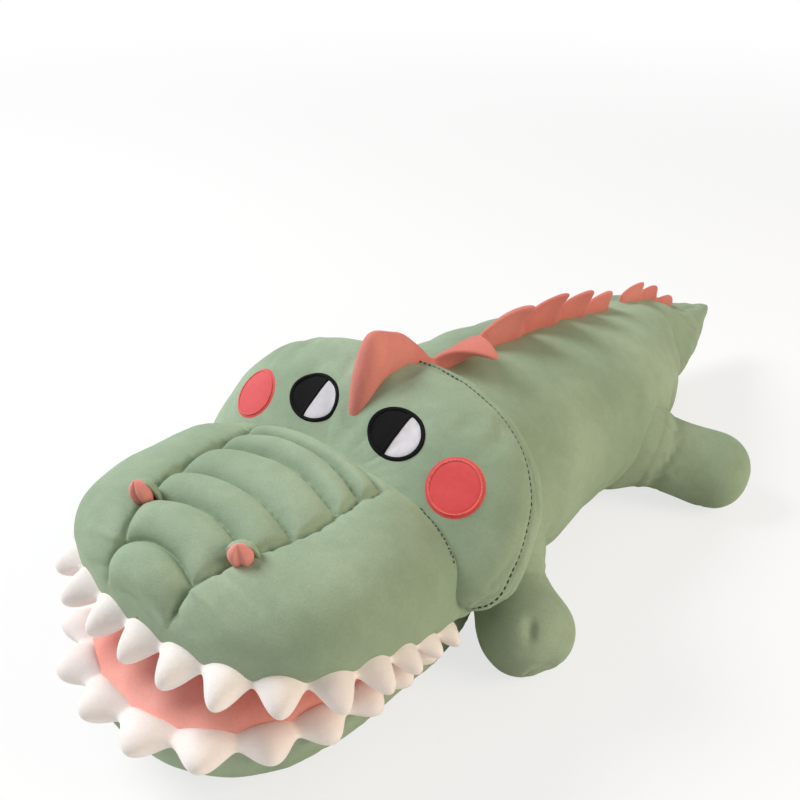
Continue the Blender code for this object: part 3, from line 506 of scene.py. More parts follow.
# %% Snout sections and the mouth's two rims
SNOUT_REAR = -150 * MM
SNOUT_FRONT = -299 * MM
SNOUT_WIDEST_Y = -215 * MM
SNOUT_HALF_WIDTH = 101 * MM
SNOUT_TOP = 142 * MM
SNOUT_BROW_Y = -240 * MM
MOUTH_REAR = -160 * MM
TEETH_REAR = -172 * MM
JAW_FRONT = -320 * MM
ROLL_REAR = -174 * MM
ROLL_FRONT = -287 * MM
ROLL_COUNT = 6
# Where the valleys lie between the rolls, counted in even rolls from the brow
VALLEYS = (-1, 0, 0.69, 1.55, 2.97, 4.15, 5.47, 6.7)
SNOUT_POWERS = (2.3, 5.5)
ROLL_HEIGHT = 11.5 * MM
VALLEY_DEPTH = 7.5 * MM
PINCH_DEPTH = 3.0 * MM
PINCH_WIDTH = 1.4 * MM
TIP_SWELL = 3.5 * MM
TIP_REACH = 14 * MM
SNOUT_ROWS = 190
SNOUT_COUNT = 240


def upper_rim(y):
    left = 1 - np.clip((MOUTH_REAR - y) / (MOUTH_REAR - SNOUT_FRONT), 0, 1)
    return (98 - 34 * left ** 2) * MM


def lower_rim(y):
    return (51 + 6 * (MOUTH_REAR - y) / (MOUTH_REAR - JAW_FRONT)) * MM


def snout_section(y):
    wide = SNOUT_HALF_WIDTH * bulge(SNOUT_WIDEST_Y - y, SNOUT_WIDEST_Y - SNOUT_FRONT, 2.7)
    rim = upper_rim(y)
    level = rim + (SNOUT_TOP - rim) * 0.3
    crown = level + (SNOUT_TOP - level) * bulge(SNOUT_BROW_Y - y, SNOUT_BROW_Y - SNOUT_FRONT, 2.3)
    crown -= 12 * MM * ease((y + 174 * MM) / (24 * MM))
    swell = bulge(SNOUT_WIDEST_Y - y, SNOUT_WIDEST_Y - SNOUT_FRONT, 2.2)
    low = rim - 6 * MM * swell
    return wide, crown, level, low, rim


def rim_angle(y):
    """How far below level the sewn line lies on each outline of the snout."""
    _, _, level, low, rim = snout_section(y)
    share = np.clip((level - rim) / (level - low), 0, 0.995)
    return np.arcsin(share ** (SNOUT_POWERS[1] / 2))


def front_places(rear, front, rows, nearly=0.9995):
    """Places that crowd together towards the rounded front end."""
    return rear + (front - rear) * np.sin(np.linspace(0, 1, rows) * math.pi / 2) * nearly


# %% Snout with its rolls
snout_y = front_places(SNOUT_REAR, SNOUT_FRONT, SNOUT_ROWS)
wide, crown, level, low, rim = (lane[:, None] for lane in snout_section(snout_y))
drop = rim_angle(snout_y)
# The cover closes at the tip, and behind the mouth's corner it wraps under the head
wrap = np.maximum(ease(np.linspace(-19, 1, SNOUT_ROWS)),
                  0.9 * ease((snout_y - TEETH_REAR) / (14 * MM)))
drop = (drop + (math.pi / 2 - drop) * wrap)[:, None]
turn = np.linspace(0, 1, SNOUT_COUNT)[None, :]
angle = -drop + (math.pi + 2 * drop) * turn
across, rise = outline(angle, wide, crown - level, level - low, *SNOUT_POWERS)
snout = standing(across, snout_y, level + rise)
normals = grid_normals(snout, closed=False)

PANEL = np.array([(-150, 50), (-172, 49), (-189, 46.5), (-211, 48.5), (-238, 46), (-262, 38), (-278, 31),
                  (-287, 27.5), (-299, 24)]) * MM
panel = np.interp(-snout[..., 1], -PANEL[:, 0], PANEL[:, 1])
inside = np.clip(np.abs(snout[..., 0]) / panel, 0, 3)
on_top = (angle > 0.25) & (angle < math.pi - 0.25)
top_share = ease((np.minimum(angle, math.pi - angle) - 0.1) / 0.3)
over = (inside < 1) & on_top
arch = np.where(over, 1 - inside ** 2, 0)
# Distance walked over the crown, so that the rolls stay equal where the front turns down
ridge = np.stack([snout_y, crown[:, 0]], axis=1)
walk = travelled(ridge)
walk_start = np.interp(-ROLL_REAR, -snout_y, walk)
walk_end = np.interp(-ROLL_FRONT, -snout_y, walk) + 12 * MM
bow = 8 * MM * arch
place = (walk[:, None] - walk_start + bow) / (walk_end - walk_start) * ROLL_COUNT
place = np.interp(place, VALLEYS, np.arange(-1, ROLL_COUNT + 1))
rolled = over & (place > -0.5) & (place < ROLL_COUNT + 0.5)
phase = np.abs((place % 1) - 0.5) * 2
puff = (1 - phase ** 2.3) ** 0.6
ends = (1 - np.clip(inside, 0, 1) ** 8) ** 0.5
fade = ease((place + 0.5) / 0.5) * ease((ROLL_COUNT + 0.45 - place) / 0.45)
lift = np.where(rolled, (puff * ROLL_HEIGHT - VALLEY_DEPTH) * ends * fade, 0)
lift += 6.0 * MM * arch * ease((walk[:, None] - walk_start + 12 * MM) / (25 * MM))
seam_gap = np.abs(snout[..., 0]) - panel
pinch = groove(seam_gap, PINCH_WIDTH) * top_share * ease((place + 0.4) / 0.5)
lift -= pinch * PINCH_DEPTH
cheek = np.where(over, 0, np.clip(seam_gap, 0, None))
near = np.exp(-cheek / (14 * MM)) * (cheek > 0) * top_share
ticks = np.cos(2 * math.pi * (place - 0.5)) ** 9
lift += near * ticks * -1.8 * MM * ease((place + 0.3) / 0.5) * ease((ROLL_COUNT - place) / 0.6)
fullness = np.sin(math.pi * np.clip(cheek / (60 * MM), 0, 1)) * 3.0 * MM
fullness = fullness * ease((walk[-1] - walk[:, None]) / (70 * MM))
shoulder = 3.0 * MM * (1 - np.exp(-cheek / (4 * MM)))
lift += (fullness + shoulder) * ease((walk[:, None] - 20 * MM) / (30 * MM))
# Slack cloth hangs in low folds where the cheek is gathered into the corner of the mouth
gather = ease(0.75 - np.abs(snout[..., 2] - 85 * MM) / (60 * MM))
gather = gather * ease((snout[..., 1] + 225 * MM) / (50 * MM))
slope = snout[..., 1] * 0.8 + snout[..., 2] * 0.55
lift += gather * np.sin(slope / (4.2 * MM)) * 0.75 * MM * (np.abs(snout[..., 0]) > 60 * MM)
lift += waves(snout, 40 * MM, 21) * 0.8 * MM + waves(snout, 14 * MM, 22) * 0.25 * MM
lift = TIP_SWELL + (lift - TIP_SWELL) * ease((walk[-1] - walk[:, None]) / TIP_REACH)
snout += normals * lift[..., None]
hub = snout[-1:].mean(axis=1, keepdims=True)
snout = np.concatenate([snout] + [hub + (snout[-1:] - hub) * size for size in (0.6, 0.05)])
# The edge is turned in under the sewn line
tuck = snout[:, [0, -1]].copy()
tuck[..., 0] *= 0.93
tuck[..., 2] += 4 * MM
snout = np.concatenate([tuck[:, :1], snout, tuck[:, 1:]], axis=1)
snout_skin = soft_skin("snout_skin", snout, closed=False, caps=False)
place_on(snout_skin, "root", GREEN, "snout_cover", "snout_filling")
snout_tree = tree_of(snout_skin)
print("snout:", len(snout_skin.data.vertices), "points")

# %% [markdown]
# ## The mouth
# The palate and the floor of the mouth are two domed pink panels that meet in a fold at the back.
# They are sewn to the green covers along the rims that carry the teeth.

# %% Palate
PALATE_COUNT = 60
turn = np.linspace(0, 1, PALATE_COUNT)[None, :]
angle = math.pi + drop + (math.pi - 2 * drop) * turn
across, rise = outline(angle, wide, crown - level, level - low, *SNOUT_POWERS)
palate = standing(across, snout_y, level + rise)
palate[..., 0] *= 0.985
palate[..., 1] -= TIP_SWELL * ease((walk - walk[-1] + TIP_REACH) / TIP_REACH)[:, None]
palate[..., 2] += 1.2 * MM * np.abs(np.cos(turn * math.pi)) + waves(palate, 30 * MM, 31) * 0.5 * MM
hub = palate[-1:].mean(axis=1, keepdims=True)
palate = np.concatenate([palate, hub + (palate[-1:] - hub) * 0.1])
palate_skin = soft_skin("palate_skin", palate, closed=False, caps=False)
place_on(palate_skin, "root", PINK, "palate_lining")

# %% [markdown]
# ## The lower jaw
# The jaw is a flat bag whose rear is rounded about the hinge at the corners of the mouth. Its
# cover reaches back under the head.

# %% Lower jaw and its lining
HINGE = np.array((0, -140, 28.5)) * MM
HINGE_RADIUS = 28 * MM
JAW_ROWS = 120
JAW_COUNT = 120
LINING_DOME = 17 * MM
HINGE_POWER = 4.5
JAW_POWER = 2.6


def jaw_section(y):
    barrel = np.sqrt(np.maximum(HINGE_RADIUS ** 2 - np.maximum(y - HINGE[1], 0) ** 2, MM ** 2))
    widen = ease((HINGE[1] - y) / (HINGE[1] - TEETH_REAR))
    wide = (70 + 14 * widen) * MM * bulge(-215 * MM - y, -215 * MM - JAW_FRONT, 2.3)
    along = np.clip((TEETH_REAR - y) / (TEETH_REAR - JAW_FRONT), 0, 1)
    swell = np.sin(math.pi * along) ** 0.6
    dome = HINGE[2] + barrel + (lower_rim(y) + LINING_DOME * swell - HINGE[2] - barrel) * widen
    level = HINGE[2] + (lower_rim(y) - MM - HINGE[2]) * widen
    low = level * (1 - bulge(-250 * MM - y, -250 * MM - JAW_FRONT, 2.2))
    low = np.where(y > HINGE[1], HINGE[2] - barrel, low)
    return wide, np.maximum(dome, level + MM), level, low


jaw_y = np.concatenate([np.linspace(-114 * MM, TEETH_REAR, 40, endpoint=False),
                        front_places(TEETH_REAR, JAW_FRONT, JAW_ROWS - 40)])
wide, dome, level, low = (lane[:, None] for lane in jaw_section(jaw_y))
power = HINGE_POWER + (JAW_POWER - HINGE_POWER) * ease(
    (HINGE[1] - jaw_y) / (HINGE[1] - TEETH_REAR))[:, None]
angle = fine_angles(JAW_COUNT)[None, :]
inner_end = 1 - ease((HINGE[1] - jaw_y) / (HINGE[1] - TEETH_REAR))[:, None]
across, rise = outline(angle, wide, np.minimum(dome - level, (4 + 60 * inner_end) * MM),
                       level - low, power, power)
jaw = standing(across, jaw_y, level + rise)
held = np.maximum(jaw[..., 2] < 3 * MM, np.sin(angle) > -0.02) * 1.0
held[:4] = held[-3:] = 1
jaw = settled(jaw, held, spare=0.03, cap=3 * MM)
normals = grid_normals(jaw)
jaw += normals * (waves(jaw, 30 * MM, 41) * 0.7 * MM * (jaw[..., 2] > 4 * MM))[..., None]
jaw[..., 2] = np.maximum(jaw[..., 2], FLOOR_GAP)
jaw_skin = soft_skin("jaw_skin", jaw)
place_on(jaw_skin, None, GREEN, "jaw_cover", "jaw_filling")
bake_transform(jaw_skin)

angle = np.linspace(0.02, math.pi - 0.02, 70)[None, :]
across, rise = outline(angle, wide * (0.985 - 0.25 * ease(inner_end * 3)),
                       dome - level + 3.5 * MM * inner_end, level - low, np.minimum(power, 3.2), power)
lining = standing(across, jaw_y, level + rise)
lining += waves(lining, 34 * MM, 42)[..., None] * np.array((0, 0, 0.8)) * MM
front_part = jaw_y < -142 * MM
lining_skin = soft_skin("mouth_floor_skin", lining[front_part], closed=False, caps=False)
place_on(lining_skin, None, PINK, "jaw_lining")
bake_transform(lining_skin)
print("jaw:", len(jaw_skin.data.vertices), "points")

# %% [markdown]
# ## The teeth
# Each row is one stuffed strip of white velour that swells into a blunt cone at every pitch and
# is drawn in to the seam between them. The strip follows the sewn rim of its panel.


# %% Rows of teeth
STEPS_PER_TOOTH = 16
SEAM_LENGTH = 6
ROOT_DEPTH = 5 * MM


def sewn_line(section, rim, front, side_power):
    """Points on a rim from the left corner round the front to the right corner."""
    y = front_places(TEETH_REAR, front, 260, 0.9999)
    wide, _, level, low, *_ = section(y)
    share = np.clip((level - rim(y)) / np.maximum(level - low, MM / 10), 0, 1)
    half = wide * (1 - share ** side_power) ** (1 / side_power)
    line = np.stack([half, y, rim(y)], axis=1)[share < 1]
    line[-1, 0] = 0
    return np.concatenate([line, line[-2::-1] * np.array((-1, 1, 1))])


def walk_line(line, shares):
    """Points at given shares of a line's length."""
    lengths = travelled(line)
    target = shares * lengths[-1]
    return np.stack([np.interp(target, lengths, line[:, axis]) for axis in range(3)], axis=1)


def teeth_row(name, line, count, gather, shift, droop, long, seed):
    """A stuffed strip with a cone at every pitch. Lengths are in millimetres."""
    steps = count * STEPS_PER_TOOTH + 1
    place = np.linspace(0, 1, steps)
    share = place - gather * np.sin(2 * math.pi * place) / (2 * math.pi) + shift * np.sin(math.pi * place)
    here = walk_line(line, share)
    step = 0.6 / count
    travel = walk_line(line, np.minimum(share + step, 1)) - walk_line(line, np.maximum(share - step, 0))
    outward = np.stack([-travel[:, 1], travel[:, 0], np.zeros(steps)], axis=1)
    outward /= np.linalg.norm(outward, axis=1, keepdims=True)
    tooth = np.minimum((place * count).astype(int), count - 1)
    vary_long, vary_tilt, vary_side = np.random.default_rng(seed).uniform(-1, 1, (3, count))[:, tooth]
    part = place * count - tooth
    swell = np.abs(np.sin(math.pi * part)) ** 1.7
    corner = ease(np.minimum(place, 1 - place) * count / 4)
    size = swell * (0.55 + 0.45 * corner)
    length = (SEAM_LENGTH + (long - SEAM_LENGTH) * size * (1 + 0.07 * vary_long * swell)) * MM
    thick = (6.5 + 10.5 * size ** 0.7) / 2 * MM
    tilt = (droop + 0.10 * vary_tilt * swell)[:, None]
    up = np.array((0, 0, 1.0))
    way = outward * np.cos(tilt) - up * np.sin(tilt)
    cross = up * np.cos(tilt) + outward * np.sin(tilt)
    side = travel / np.linalg.norm(travel, axis=1, keepdims=True)
    root = here - way * ROOT_DEPTH + side * (0.8 * vary_side * swell)[:, None] * MM
    ring = fine_angles(22)
    reach = 0.5 + 0.5 * spow(np.cos(ring), 0.8)
    body = spow(np.sin(ring), 0.9) * (1 - 0.28 * reach ** 2)
    points = (root[:, None] + way[:, None] * ((length + ROOT_DEPTH)[:, None] * reach)[..., None]
              + cross[:, None] * (thick[:, None] * body * 1.12)[..., None])
    return soft_skin(name, points)


upper_line = sewn_line(snout_section, upper_rim, SNOUT_FRONT, SNOUT_POWERS[1])
lower_line = sewn_line(jaw_section, lower_rim, JAW_FRONT, JAW_POWER)
upper = teeth_row("upper_teeth_skin", upper_line, 17, 0.15, -0.010, math.radians(24), 21, 51)
place_on(upper, "root", WHITE, "upper_teeth")
lower = teeth_row("lower_teeth_skin", lower_line, 15, 0.2, 0.026, math.radians(-4), 18.5, 52)
place_on(lower, "jaw", WHITE, "lower_teeth")
print("teeth:", len(upper.data.vertices) + len(lower.data.vertices), "points")

# %% [markdown]
# ## The legs
# Four short clubs of cloth, wide at the paw and drawn in at the body. Each is one skin from the
# root to the paw.

# %% Legs
LEGS = {
    # root, middle of the paw, thickness at the root, the neck and the paw, rounding of the tip,
    # seed, and depth of the toe crease, in millimetres
    "front": ((62, -84, 50), (108, -111, 27.5), 34, 24, 28, 24, 61, 5.5),
    "hind": ((50, 90, 48), (113, 121, 28.5), 42, 27, 28.5, 27, 62, 0),
}
LEG_STRAIGHT = 0.62
LEG_NECK = 0.55
LEG_ROWS = 60
LEG_COUNT = 64


def leg_skin(name, sign, root, paw, thick_root, thick_neck, thick_paw, tip, seed, toe_depth):
    flip = np.array((sign, 1, 1))
    start = np.array(root) * MM * flip
    end = np.array(paw) * MM * flip
    path = end - start
    reach = np.linalg.norm(path)
    frame_turn = np.array(Vector(path).to_track_quat("Z", "Y").to_matrix())
    along = np.linspace(0, 1, LEG_ROWS)
    straight = along < LEG_STRAIGHT
    share = np.where(straight, along / LEG_STRAIGHT, 1)
    round_end = np.clip((along - LEG_STRAIGHT) / (1 - LEG_STRAIGHT), 0, 1) * math.pi / 2 * 0.985
    neck = thick_root + (thick_neck - thick_root) * ease(share / LEG_NECK)
    swelling = thick_neck + (thick_paw - thick_neck) * ease((share - LEG_NECK) / (1 - LEG_NECK))
    size = np.where(share < LEG_NECK, neck, swelling) * MM
    size = np.where(straight, size, thick_paw * MM * np.cos(round_end) ** 0.8)
    far = np.where(straight, share * reach, reach + tip * MM * np.sin(round_end))
    ring = fine_angles(LEG_COUNT)
    flat = np.stack([np.cos(ring) * size[:, None], np.sin(ring) * size[:, None],
                     np.broadcast_to(far[:, None], (LEG_ROWS, LEG_COUNT))], axis=2)
    points = start + flat @ frame_turn.T
    points[..., 2] = np.maximum(points[..., 2], 0.3 * MM)
    held = (points[..., 2] < 2 * MM) * 1.0
    held[:14] = held[-2:] = 1
    points = settled(points, held, spare=0.03, cap=2.5 * MM)
    normals = grid_normals(points)
    folds = waves(points, 22 * MM, seed) * 0.6 * ease((points[..., 2] - 2 * MM) / (15 * MM))
    points += normals * folds[..., None] * MM
    # A short stitched crease over the front of the paw stands for the toes
    away = (points - end - np.array((11.5, -15.4, 19)) * MM * flip) * flip
    aside = np.abs(away @ np.array((0.757, 0.653, 0)))
    uphill = away @ np.array((-0.45, 0.54, 0.71))
    outer = away @ np.array((0.43, -0.57, 0.70)) > -12 * MM
    press = groove(aside, 2.4 * MM) * np.exp(-(uphill / (6 * MM)) ** 2) * outer
    points -= normals * (press * toe_depth * MM)[..., None]
    points[..., 2] = np.maximum(points[..., 2], FLOOR_GAP)
    return soft_skin(name, points)


for pair, (root, paw, *shape) in LEGS.items():
    for side, sign in SIDES:
        body_name = f"{side}_{pair}_leg"
        skin = leg_skin(body_name + "_skin", sign, root, paw, *shape)
        place_on(skin, None, GREEN, body_name + "_cover", body_name + "_filling")
        start, end = (Vector((x * sign, y, z)) * MM for x, y, z in (root, paw))
        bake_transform(skin)
print("legs:", 2 * len(LEGS))

# %% [markdown]
# ## The crest
# Two layers of salmon velour, lightly stuffed and sewn round the edge, stand along the spine.
# The first spike is upright on the brow, the next has flopped to the toy's left, and the rest
# shrink towards the tail.


# %% Crest strips along the spine
ROWS_PER_SPIKE = 26
STRIP_HEIGHT = 6
SEWN_DEPTH = 5


def top_of(trees, y):
    """The height of the back where the crest is sewn down."""
    places = [tree.ray_cast(Vector((0, y, 0.4)), Vector((0, 0, -1)))[0] for tree in trees]
    return max(place.z for place in places if place)


def crest(name, spikes, trees):
    """Spikes are front, apex and rear places along the spine, height, lean and thickness."""
    rows = []
    for front, apex, rear, height, lean, thick in spikes:
        share = np.linspace(0, 1, ROWS_PER_SPIKE, endpoint=False)
        y = front + (rear - front) * share
        rise_up = np.clip((y - front) / (apex - front), 0, 1)
        fall = np.clip((rear - y) / (rear - apex), 0, 1)
        tall = np.minimum(rise_up ** 0.8, fall ** 1.15)
        rows += zip(y, STRIP_HEIGHT + (height - STRIP_HEIGHT) * tall, lean * tall,
                    thick * (0.4 + 0.6 * tall ** 0.7))
    ring = fine_angles(30)
    points = []
    for y, height, lean, thick in rows:
        base = top_of(trees, y * MM) - SEWN_DEPTH * MM
        reach = 0.5 + 0.5 * spow(np.cos(ring), 0.75)
        spread = spow(np.sin(ring), 0.8) * (1 - 0.5 * reach ** 1.6) * thick / 2 * MM
        full = (height + SEWN_DEPTH) * MM * reach
        bend = math.radians(lean) * reach
        across = np.sin(bend) * full + np.cos(bend) * spread
        up = np.cos(bend) * full - np.sin(bend) * spread
        points.append(np.stack([across, np.full(ring.shape, y * MM), base + up], axis=1))
    grid = np.array(points)
    for _ in range(2):
        grid[1:-1] = (grid[:-2] + 2 * grid[1:-1] + grid[2:]) / 4
    grid += grid_normals(grid) * (waves(grid, 16 * MM, 71) * 0.35 * MM)[..., None]
    return soft_skin(name, grid)


body_tree = tree_of(bpy.data.objects["body_and_tail_skin"])
SPIKES = [
    (-145, -131, -73, 33, 0, 20), (-73, -47, -26, 33, 70, 15), (-26, 10, 24, 38, 34, 15),
    (24, 58, 72, 35, 30, 14), (72, 100, 112, 28, 26, 13), (112, 136, 147, 20, 22, 12),
]
TAIL_SPIKES = [(168, 190, 200, 19, 20, 11), (200, 219, 229, 15, 18, 10), (229, 247, 262, 11, 16, 9)]
spine_crest = crest("spine_crest", SPIKES, (hood_tree, body_tree))
place_on(spine_crest, "root", CREST, "head_crest", "back_crest")
tail_spikes = crest("tail_crest_skin", TAIL_SPIKES, (body_tree,))
place_on(tail_spikes, "tail", CREST, "tail_crest")
print("crest:", len(SPIKES) + len(TAIL_SPIKES), "spikes")

# %% [markdown]
# ## Eyes and cheeks
# The eyes are satin stitch: a thick black ring round a black half and a white half. The cheeks
# are coral satin discs with an embroidered ring. Each patch is laid on the face point by point,
# so it follows the cloth beneath.


# %% Patches that lie on the face
def on_face(centre, facing, across, rise):
    """Where a point of a flat patch meets the face, and the direction out of it there."""
    right = Vector(RISING).cross(facing).normalized()
    flat = centre + right * across + facing.cross(right) * rise
    place, normal, _, _ = hood_tree.ray_cast(flat + facing * 0.05, -facing)
    return place, normal


def patch(name, centre, facing, inner, outer, first, last, thick, stretch):
    """A disc, ring or part of a disc laid on the face, between two radii and two angles."""
    whole = last - first == 360
    rows = []
    for turn in np.radians(np.linspace(first, last, 96 if whole else 49, endpoint=not whole)):
        row = []
        for step in np.linspace(0, 1, 12):
            radius = inner + (outer - inner) * step
            place, normal = on_face(centre, facing, math.cos(turn) * stretch[0] * radius,
                                    math.sin(turn) * stretch[1] * radius)
            rounding = abs(2 * step - 1) ** 3 if inner > 0 else step ** 12
            row.append(place + normal * (thick * (1 - rounding) - 0.25 * MM))
        rows.append(row)
    grid = np.array(rows)
    if not whole:
        sunk = grid[[0, -1]] - np.array(facing) * (thick + 0.4 * MM)
        grid = np.concatenate([sunk[:1], grid, sunk[1:]])
    return mesh_from_grid(name, grid.transpose(1, 0, 2), closed=whole, caps=False)


EYE_RADIUS = 16.5 * MM
EYE_INNER = EYE_RADIUS - 2.3 * MM
EYE_HALF = EYE_INNER + 0.8 * MM
EYE_STRETCH = (1.16, 0.93)
LID_TURN = math.radians(80)
LID_WIDTH = 1.5 * MM
LID_THICK = 0.8 * MM
CHEEK_RADIUS = 17.5 * MM


def lid_line(name, centre, facing):
    """The narrow satin bar along the line between the dark and the pale half of an eye."""
    cos, sin = math.cos(LID_TURN), math.sin(LID_TURN)
    rows = []
    for along in np.linspace(-EYE_INNER, EYE_INNER, 30):
        row = []
        for aside in np.linspace(-1, 1, 7):
            side = aside * LID_WIDTH
            place, normal = on_face(centre, facing, (along * cos - side * sin) * EYE_STRETCH[0],
                                    (along * sin + side * cos) * EYE_STRETCH[1])
            row.append(place + normal * (LID_THICK * (1 - aside ** 4) + 0.3 * MM))
        rows.append(row)
    return mesh_from_grid(name, np.array(rows), closed=False, caps=False)


# Piece, CAD node, finish, inner and outer radius, first and last angle, thickness
EYE = (
    ("eye_ring", "eye_rim", BLACK, EYE_INNER - 0.5 * MM, EYE_RADIUS, 0, 360, 1.3 * MM),
    ("eye_dark_half", "eye_black", BLACK, 0, EYE_HALF, 80, 260, 0.8 * MM),
    ("eye_pale_half", "eye_white", PUPIL, 0, EYE_HALF, -100, 80, 0.8 * MM),
)
CHEEK = (
    ("cheek_disc", "cheek_patch", SATIN, 0, CHEEK_RADIUS, 0, 360, 1.0 * MM),
    ("cheek_ring", "cheek_stitching", EDGING,
     CHEEK_RADIUS - 3.4 * MM, CHEEK_RADIUS - 2.0 * MM, 0, 360, 1.5 * MM),
)
for side, sign in SIDES:
    for parts, across, height, stretch in ((EYE, 32.4, 154, EYE_STRETCH), (CHEEK, 79, 137, (1, 1))):
        start = Vector((across * sign * MM, HOOD_CENTRE[1], height * MM)) + Vector(FACING) * 0.15
        centre, facing, _, _ = hood_tree.ray_cast(start, -Vector(FACING))
        for piece, node, finish, *shape in parts:
            laid = patch(f"{side}_{piece}", centre, facing, *shape, stretch)
            place_on(laid, "root", finish, f"{side}_{node}")
        if parts is EYE:
            lid = lid_line(f"{side}_eye_lid_line", centre, facing)
            place_on(lid, "root", BLACK)
print("eyes and cheeks on the face")

# %% [markdown]
# ## Nostrils
# Each nostril is a little folded cup of green velour with a pink petal tucked into it, standing
# on the front corner of the snout's top panel.


# %% Nostrils
# Heights and radii of a petal, in millimetres
PETAL = [(-1, 3.6), (2.5, 5.4), (6, 6.6), (9.5, 6.6), (12.5, 5.3), (15, 3.2), (16.6, 0.9)]
PETAL_COUNT = 40
PETAL_FLATNESS = 0.78


def petal_form(name, centre, turn):
    """A rounded form, narrower one way and creased in front."""
    ring = fine_angles(PETAL_COUNT)
    crease = 1 - 0.4 * np.exp(-((ring - 1.5 * math.pi) / 0.3) ** 2)
    rows = []
    for height, size in PETAL:
        radius = size * MM * crease
        flat = np.stack([np.cos(ring) * radius, np.sin(ring) * radius * PETAL_FLATNESS,
                         np.full(PETAL_COUNT, height * MM)], axis=1)
        rows.append(centre + flat @ turn.T)
    grid = np.array(rows)
    grid += grid_normals(grid) * (waves(grid, 7 * MM, 81) * 0.3 * MM)[..., None]
    return soft_skin(name, grid)


FOLD_HEIGHT = 17.5 * MM
for side, sign, twist in (("left", 1, 0.25), ("right", -1, 0.75)):
    spot = Vector((38 * sign, -262, 200)) * MM
    base, _, _, _ = snout_tree.ray_cast(spot, Vector((0, 0, -1)))
    axis = Vector((0.10 * sign, -0.25, 1)).normalized()
    turn = np.array(axis.to_track_quat("Z", "Y").to_matrix() @ Matrix.Rotation(twist, 3, "Z"))
    arc = np.radians(np.linspace(-98, 98, 25))
    rows = []
    for share in np.linspace(0, 1, 16):
        wide = (7.4 + 1.4 * share) * MM * (1 - share ** 3.5) ** 0.5 + 0.5 * MM
        thin = min(2.6 * MM, wide * 0.45)
        outer = np.sin(arc) * wide, np.cos(arc) * wide * 0.8
        inner = np.sin(arc[::-1]) * (wide - thin), np.cos(arc[::-1]) * (wide * 0.8 - thin)
        across, depth = np.concatenate([outer, inner], axis=1)
        level = np.full(len(across), share * FOLD_HEIGHT - 3 * MM)
        rows.append(np.array(base) + np.stack([across, depth - share ** 2 * MM, level], axis=1) @ turn.T)
    fold = soft_skin(f"{side}_nostril_fold", np.array(rows))
    place_on(fold, "root", GREEN, f"{side}_nostril_cup")
    middle = np.array(base) + turn @ (0, -2.4 * MM, 0)
    petal = petal_form(f"{side}_nostril_pink", middle, turn)
    place_on(petal, "root", NOSTRIL, f"{side}_nostril_petal")
print("nostrils set on the snout")

# %% [markdown]
# ## Hand stitches
# The rim of the head is closed by hand, so a line of short dashes shows in its groove. Each dash
# is a tiny tapered thread laid along the rim.


# %% Stitches in the seams
# Places along a stitch and its thickness there, as shares of its length and full thickness
STITCH = np.array([(-0.5, 0.15), (-0.3, 0.85), (0, 1), (0.3, 0.85), (0.5, 0.15)])
STITCH_SIDES = 6


def dashes(name, line, tree, pitch, long, thick, lift):
    """Short threads along a line, each following the surface under it."""
    length = travelled(line)[-1]
    count = int(length / pitch)
    verts, faces = [], []
    for middle in (np.arange(count) + 0.5) * pitch:
        points = walk_line(line, (middle + STITCH[:, 0] * long) / length)
        places = [tree.find_nearest(Vector(point))[:2] for point in points]
        travel = (places[-1][0] - places[0][0]).normalized()
        first = len(verts)
        for (near, normal), size in zip(places, STITCH[:, 1] * thick):
            side = travel.cross(normal).normalized()
            for turn in np.linspace(0, 2 * math.pi, STITCH_SIDES, endpoint=False):
                verts.append(near + normal * (lift + math.sin(turn) * size)
                             + side * math.cos(turn) * size)
        last = len(verts) - 1
        faces += strip_faces(first, len(STITCH), STITCH_SIDES)
        faces += [tuple(range(first, first + STITCH_SIDES)), tuple(range(last, last - STITCH_SIDES, -1))]
    mesh = bpy.data.meshes.new(name)
    mesh.from_pydata(verts, [], faces)
    mesh.shade_smooth()
    mesh.materials.append(THREAD)
    piece = put_in_scene(name, mesh)
    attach(piece, "root")
    print(f"{name}: {count} stitches")


rim_line = hood[rim_row]
rim_line = rim_line[rim_line[:, 2] > 70 * MM]
rim_line = rim_line[np.argsort(np.arctan2(rim_line[:, 2] - 80 * MM, rim_line[:, 0]))]
# The snout leaves the face where its cloth first comes out of the head's
joined = []
for lane in snout[:, 9:SNOUT_COUNT - 7:2].swapaxes(0, 1):
    if abs(lane[60, 0]) < 52 * MM:
        continue
    for point in lane:
        near, normal, _, _ = hood_tree.find_nearest(Vector(point))
        if (Vector(point) - near).dot(normal) > 0.4 * MM:
            joined.append(point)
            break
for side, sign in SIDES:
    line = np.array([point for point in joined if point[0] * sign > 0 and point[2] > 84 * MM])
    line = line[np.argsort(line[:, 2])]
    dashes(f"{side}_snout_stitches", line, snout_tree, 3.4 * MM, 2.3 * MM, 0.45 * MM, 0.25 * MM)
dashes("head_rim_stitches", rim_line, hood_tree, 3.6 * MM, 2.4 * MM, 0.55 * MM, 0.55 * MM)

# %% [markdown]
# ## Floor, light and camera
# Soft, plain light shows the cloth without glare: one broad lamp in front, one weaker warm one
# behind, and a bright room. The floor is pale and lets the room's white through to the camera,
# so only a soft shadow is left.

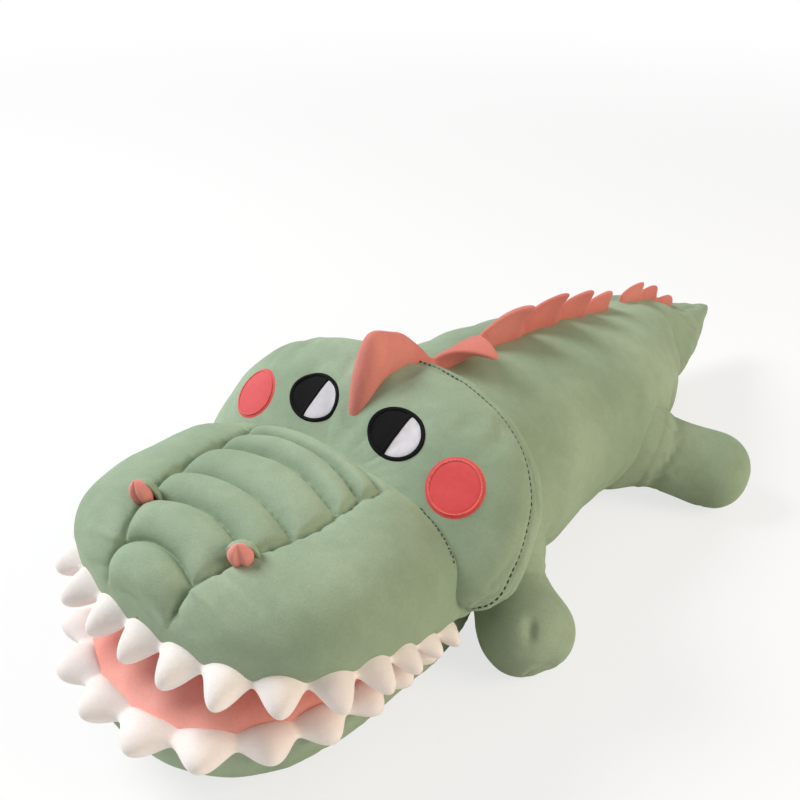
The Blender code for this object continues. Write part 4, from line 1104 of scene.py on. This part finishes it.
# %% Floor
floor_mesh = bpy.data.meshes.new("floor")
FLOOR_REACH = 12.0
floor_mesh.from_pydata([(x * FLOOR_REACH, y * FLOOR_REACH, 0)
                        for x, y in ((-1, -1), (1, -1), (1, 1), (-1, 1))], [], [(0, 1, 2, 3)])
put_in_scene("floor", floor_mesh)
ground = Finish(bpy.data.materials.new("pale_floor"))
ground.done(Base_Color=(0.86, 0.85, 0.84, 1), Roughness=0.9, Specular_IOR_Level=0.1)
seen = ground.node("ShaderNodeLightPath", "Is Camera Ray")
glow = ground.node("ShaderNodeEmission", "Emission", {"Color": (1, 1, 1, 1), "Strength": 1.0})
distance = ground.node("ShaderNodeVectorMath", "Value", {0: ground.place()}, operation="LENGTH")
far = ground.between(distance, 0.5, 2.2)
matt = Wire(ground, ground.shader.outputs[0])
blended = ground.node("ShaderNodeMixShader", "Shader", {0: seen * (far * 0.28 + 0.72), 1: matt, 2: glow})
ground.tree.links.new(blended.socket, ground.tree.nodes["Material Output"].inputs["Surface"])
floor_mesh.materials.append(ground.owner)

# %% Room and lamps
bpy.context.scene.world = bpy.data.worlds.new("room")
room = Finish(bpy.context.scene.world, "Background")
seen, mirrored = (room.node("ShaderNodeLightPath", ray) for ray in ("Is Camera Ray", "Is Glossy Ray"))
seen = room.maths("MAXIMUM", seen, mirrored)
room.done(Color=(1, 1, 1, 1), Strength=seen * 0.66 + 0.34)


def lamp(name, place, target, power, colour):
    data = bpy.data.lights.new(name, "AREA")
    data.shape = "DISK"
    data.size = 1.0
    data.energy = power
    data.color = colour
    made = put_in_scene(name, data)
    made.location = place
    made.rotation_euler = (Vector(target) - Vector(place)).to_track_quat("-Z", "Y").to_euler()


lamp("front_lamp", (-1.3, -0.7, 1.5), (0, -0.1, 0.05), 40, (0.94, 0.98, 1.0))
lamp("rear_lamp", (1.4, 0.3, 0.8), (0, 0, 0.05), 15, (1.0, 0.86, 0.66))
print("room and lamps set")

# %% Camera at the photograph's angle
CAMERA_PLACE = Vector((0.3447, -0.5024, 0.4485))
AZIMUTH = math.radians(40.747)
ELEVATION = math.radians(30)
forward = Vector((-math.sin(AZIMUTH) * math.cos(ELEVATION), math.cos(AZIMUTH) * math.cos(ELEVATION),
                  -math.sin(ELEVATION)))
camera_data = bpy.data.cameras.new("camera")
camera_data.lens = 45
camera_data.sensor_width = 36
camera_data.clip_start = 0.01
camera = put_in_scene("camera", camera_data)
camera.location = CAMERA_PLACE
camera.rotation_euler = forward.to_track_quat("-Z", "Y").to_euler()
bpy.context.scene.camera = camera
bpy.context.scene.view_settings.view_transform = "Standard"
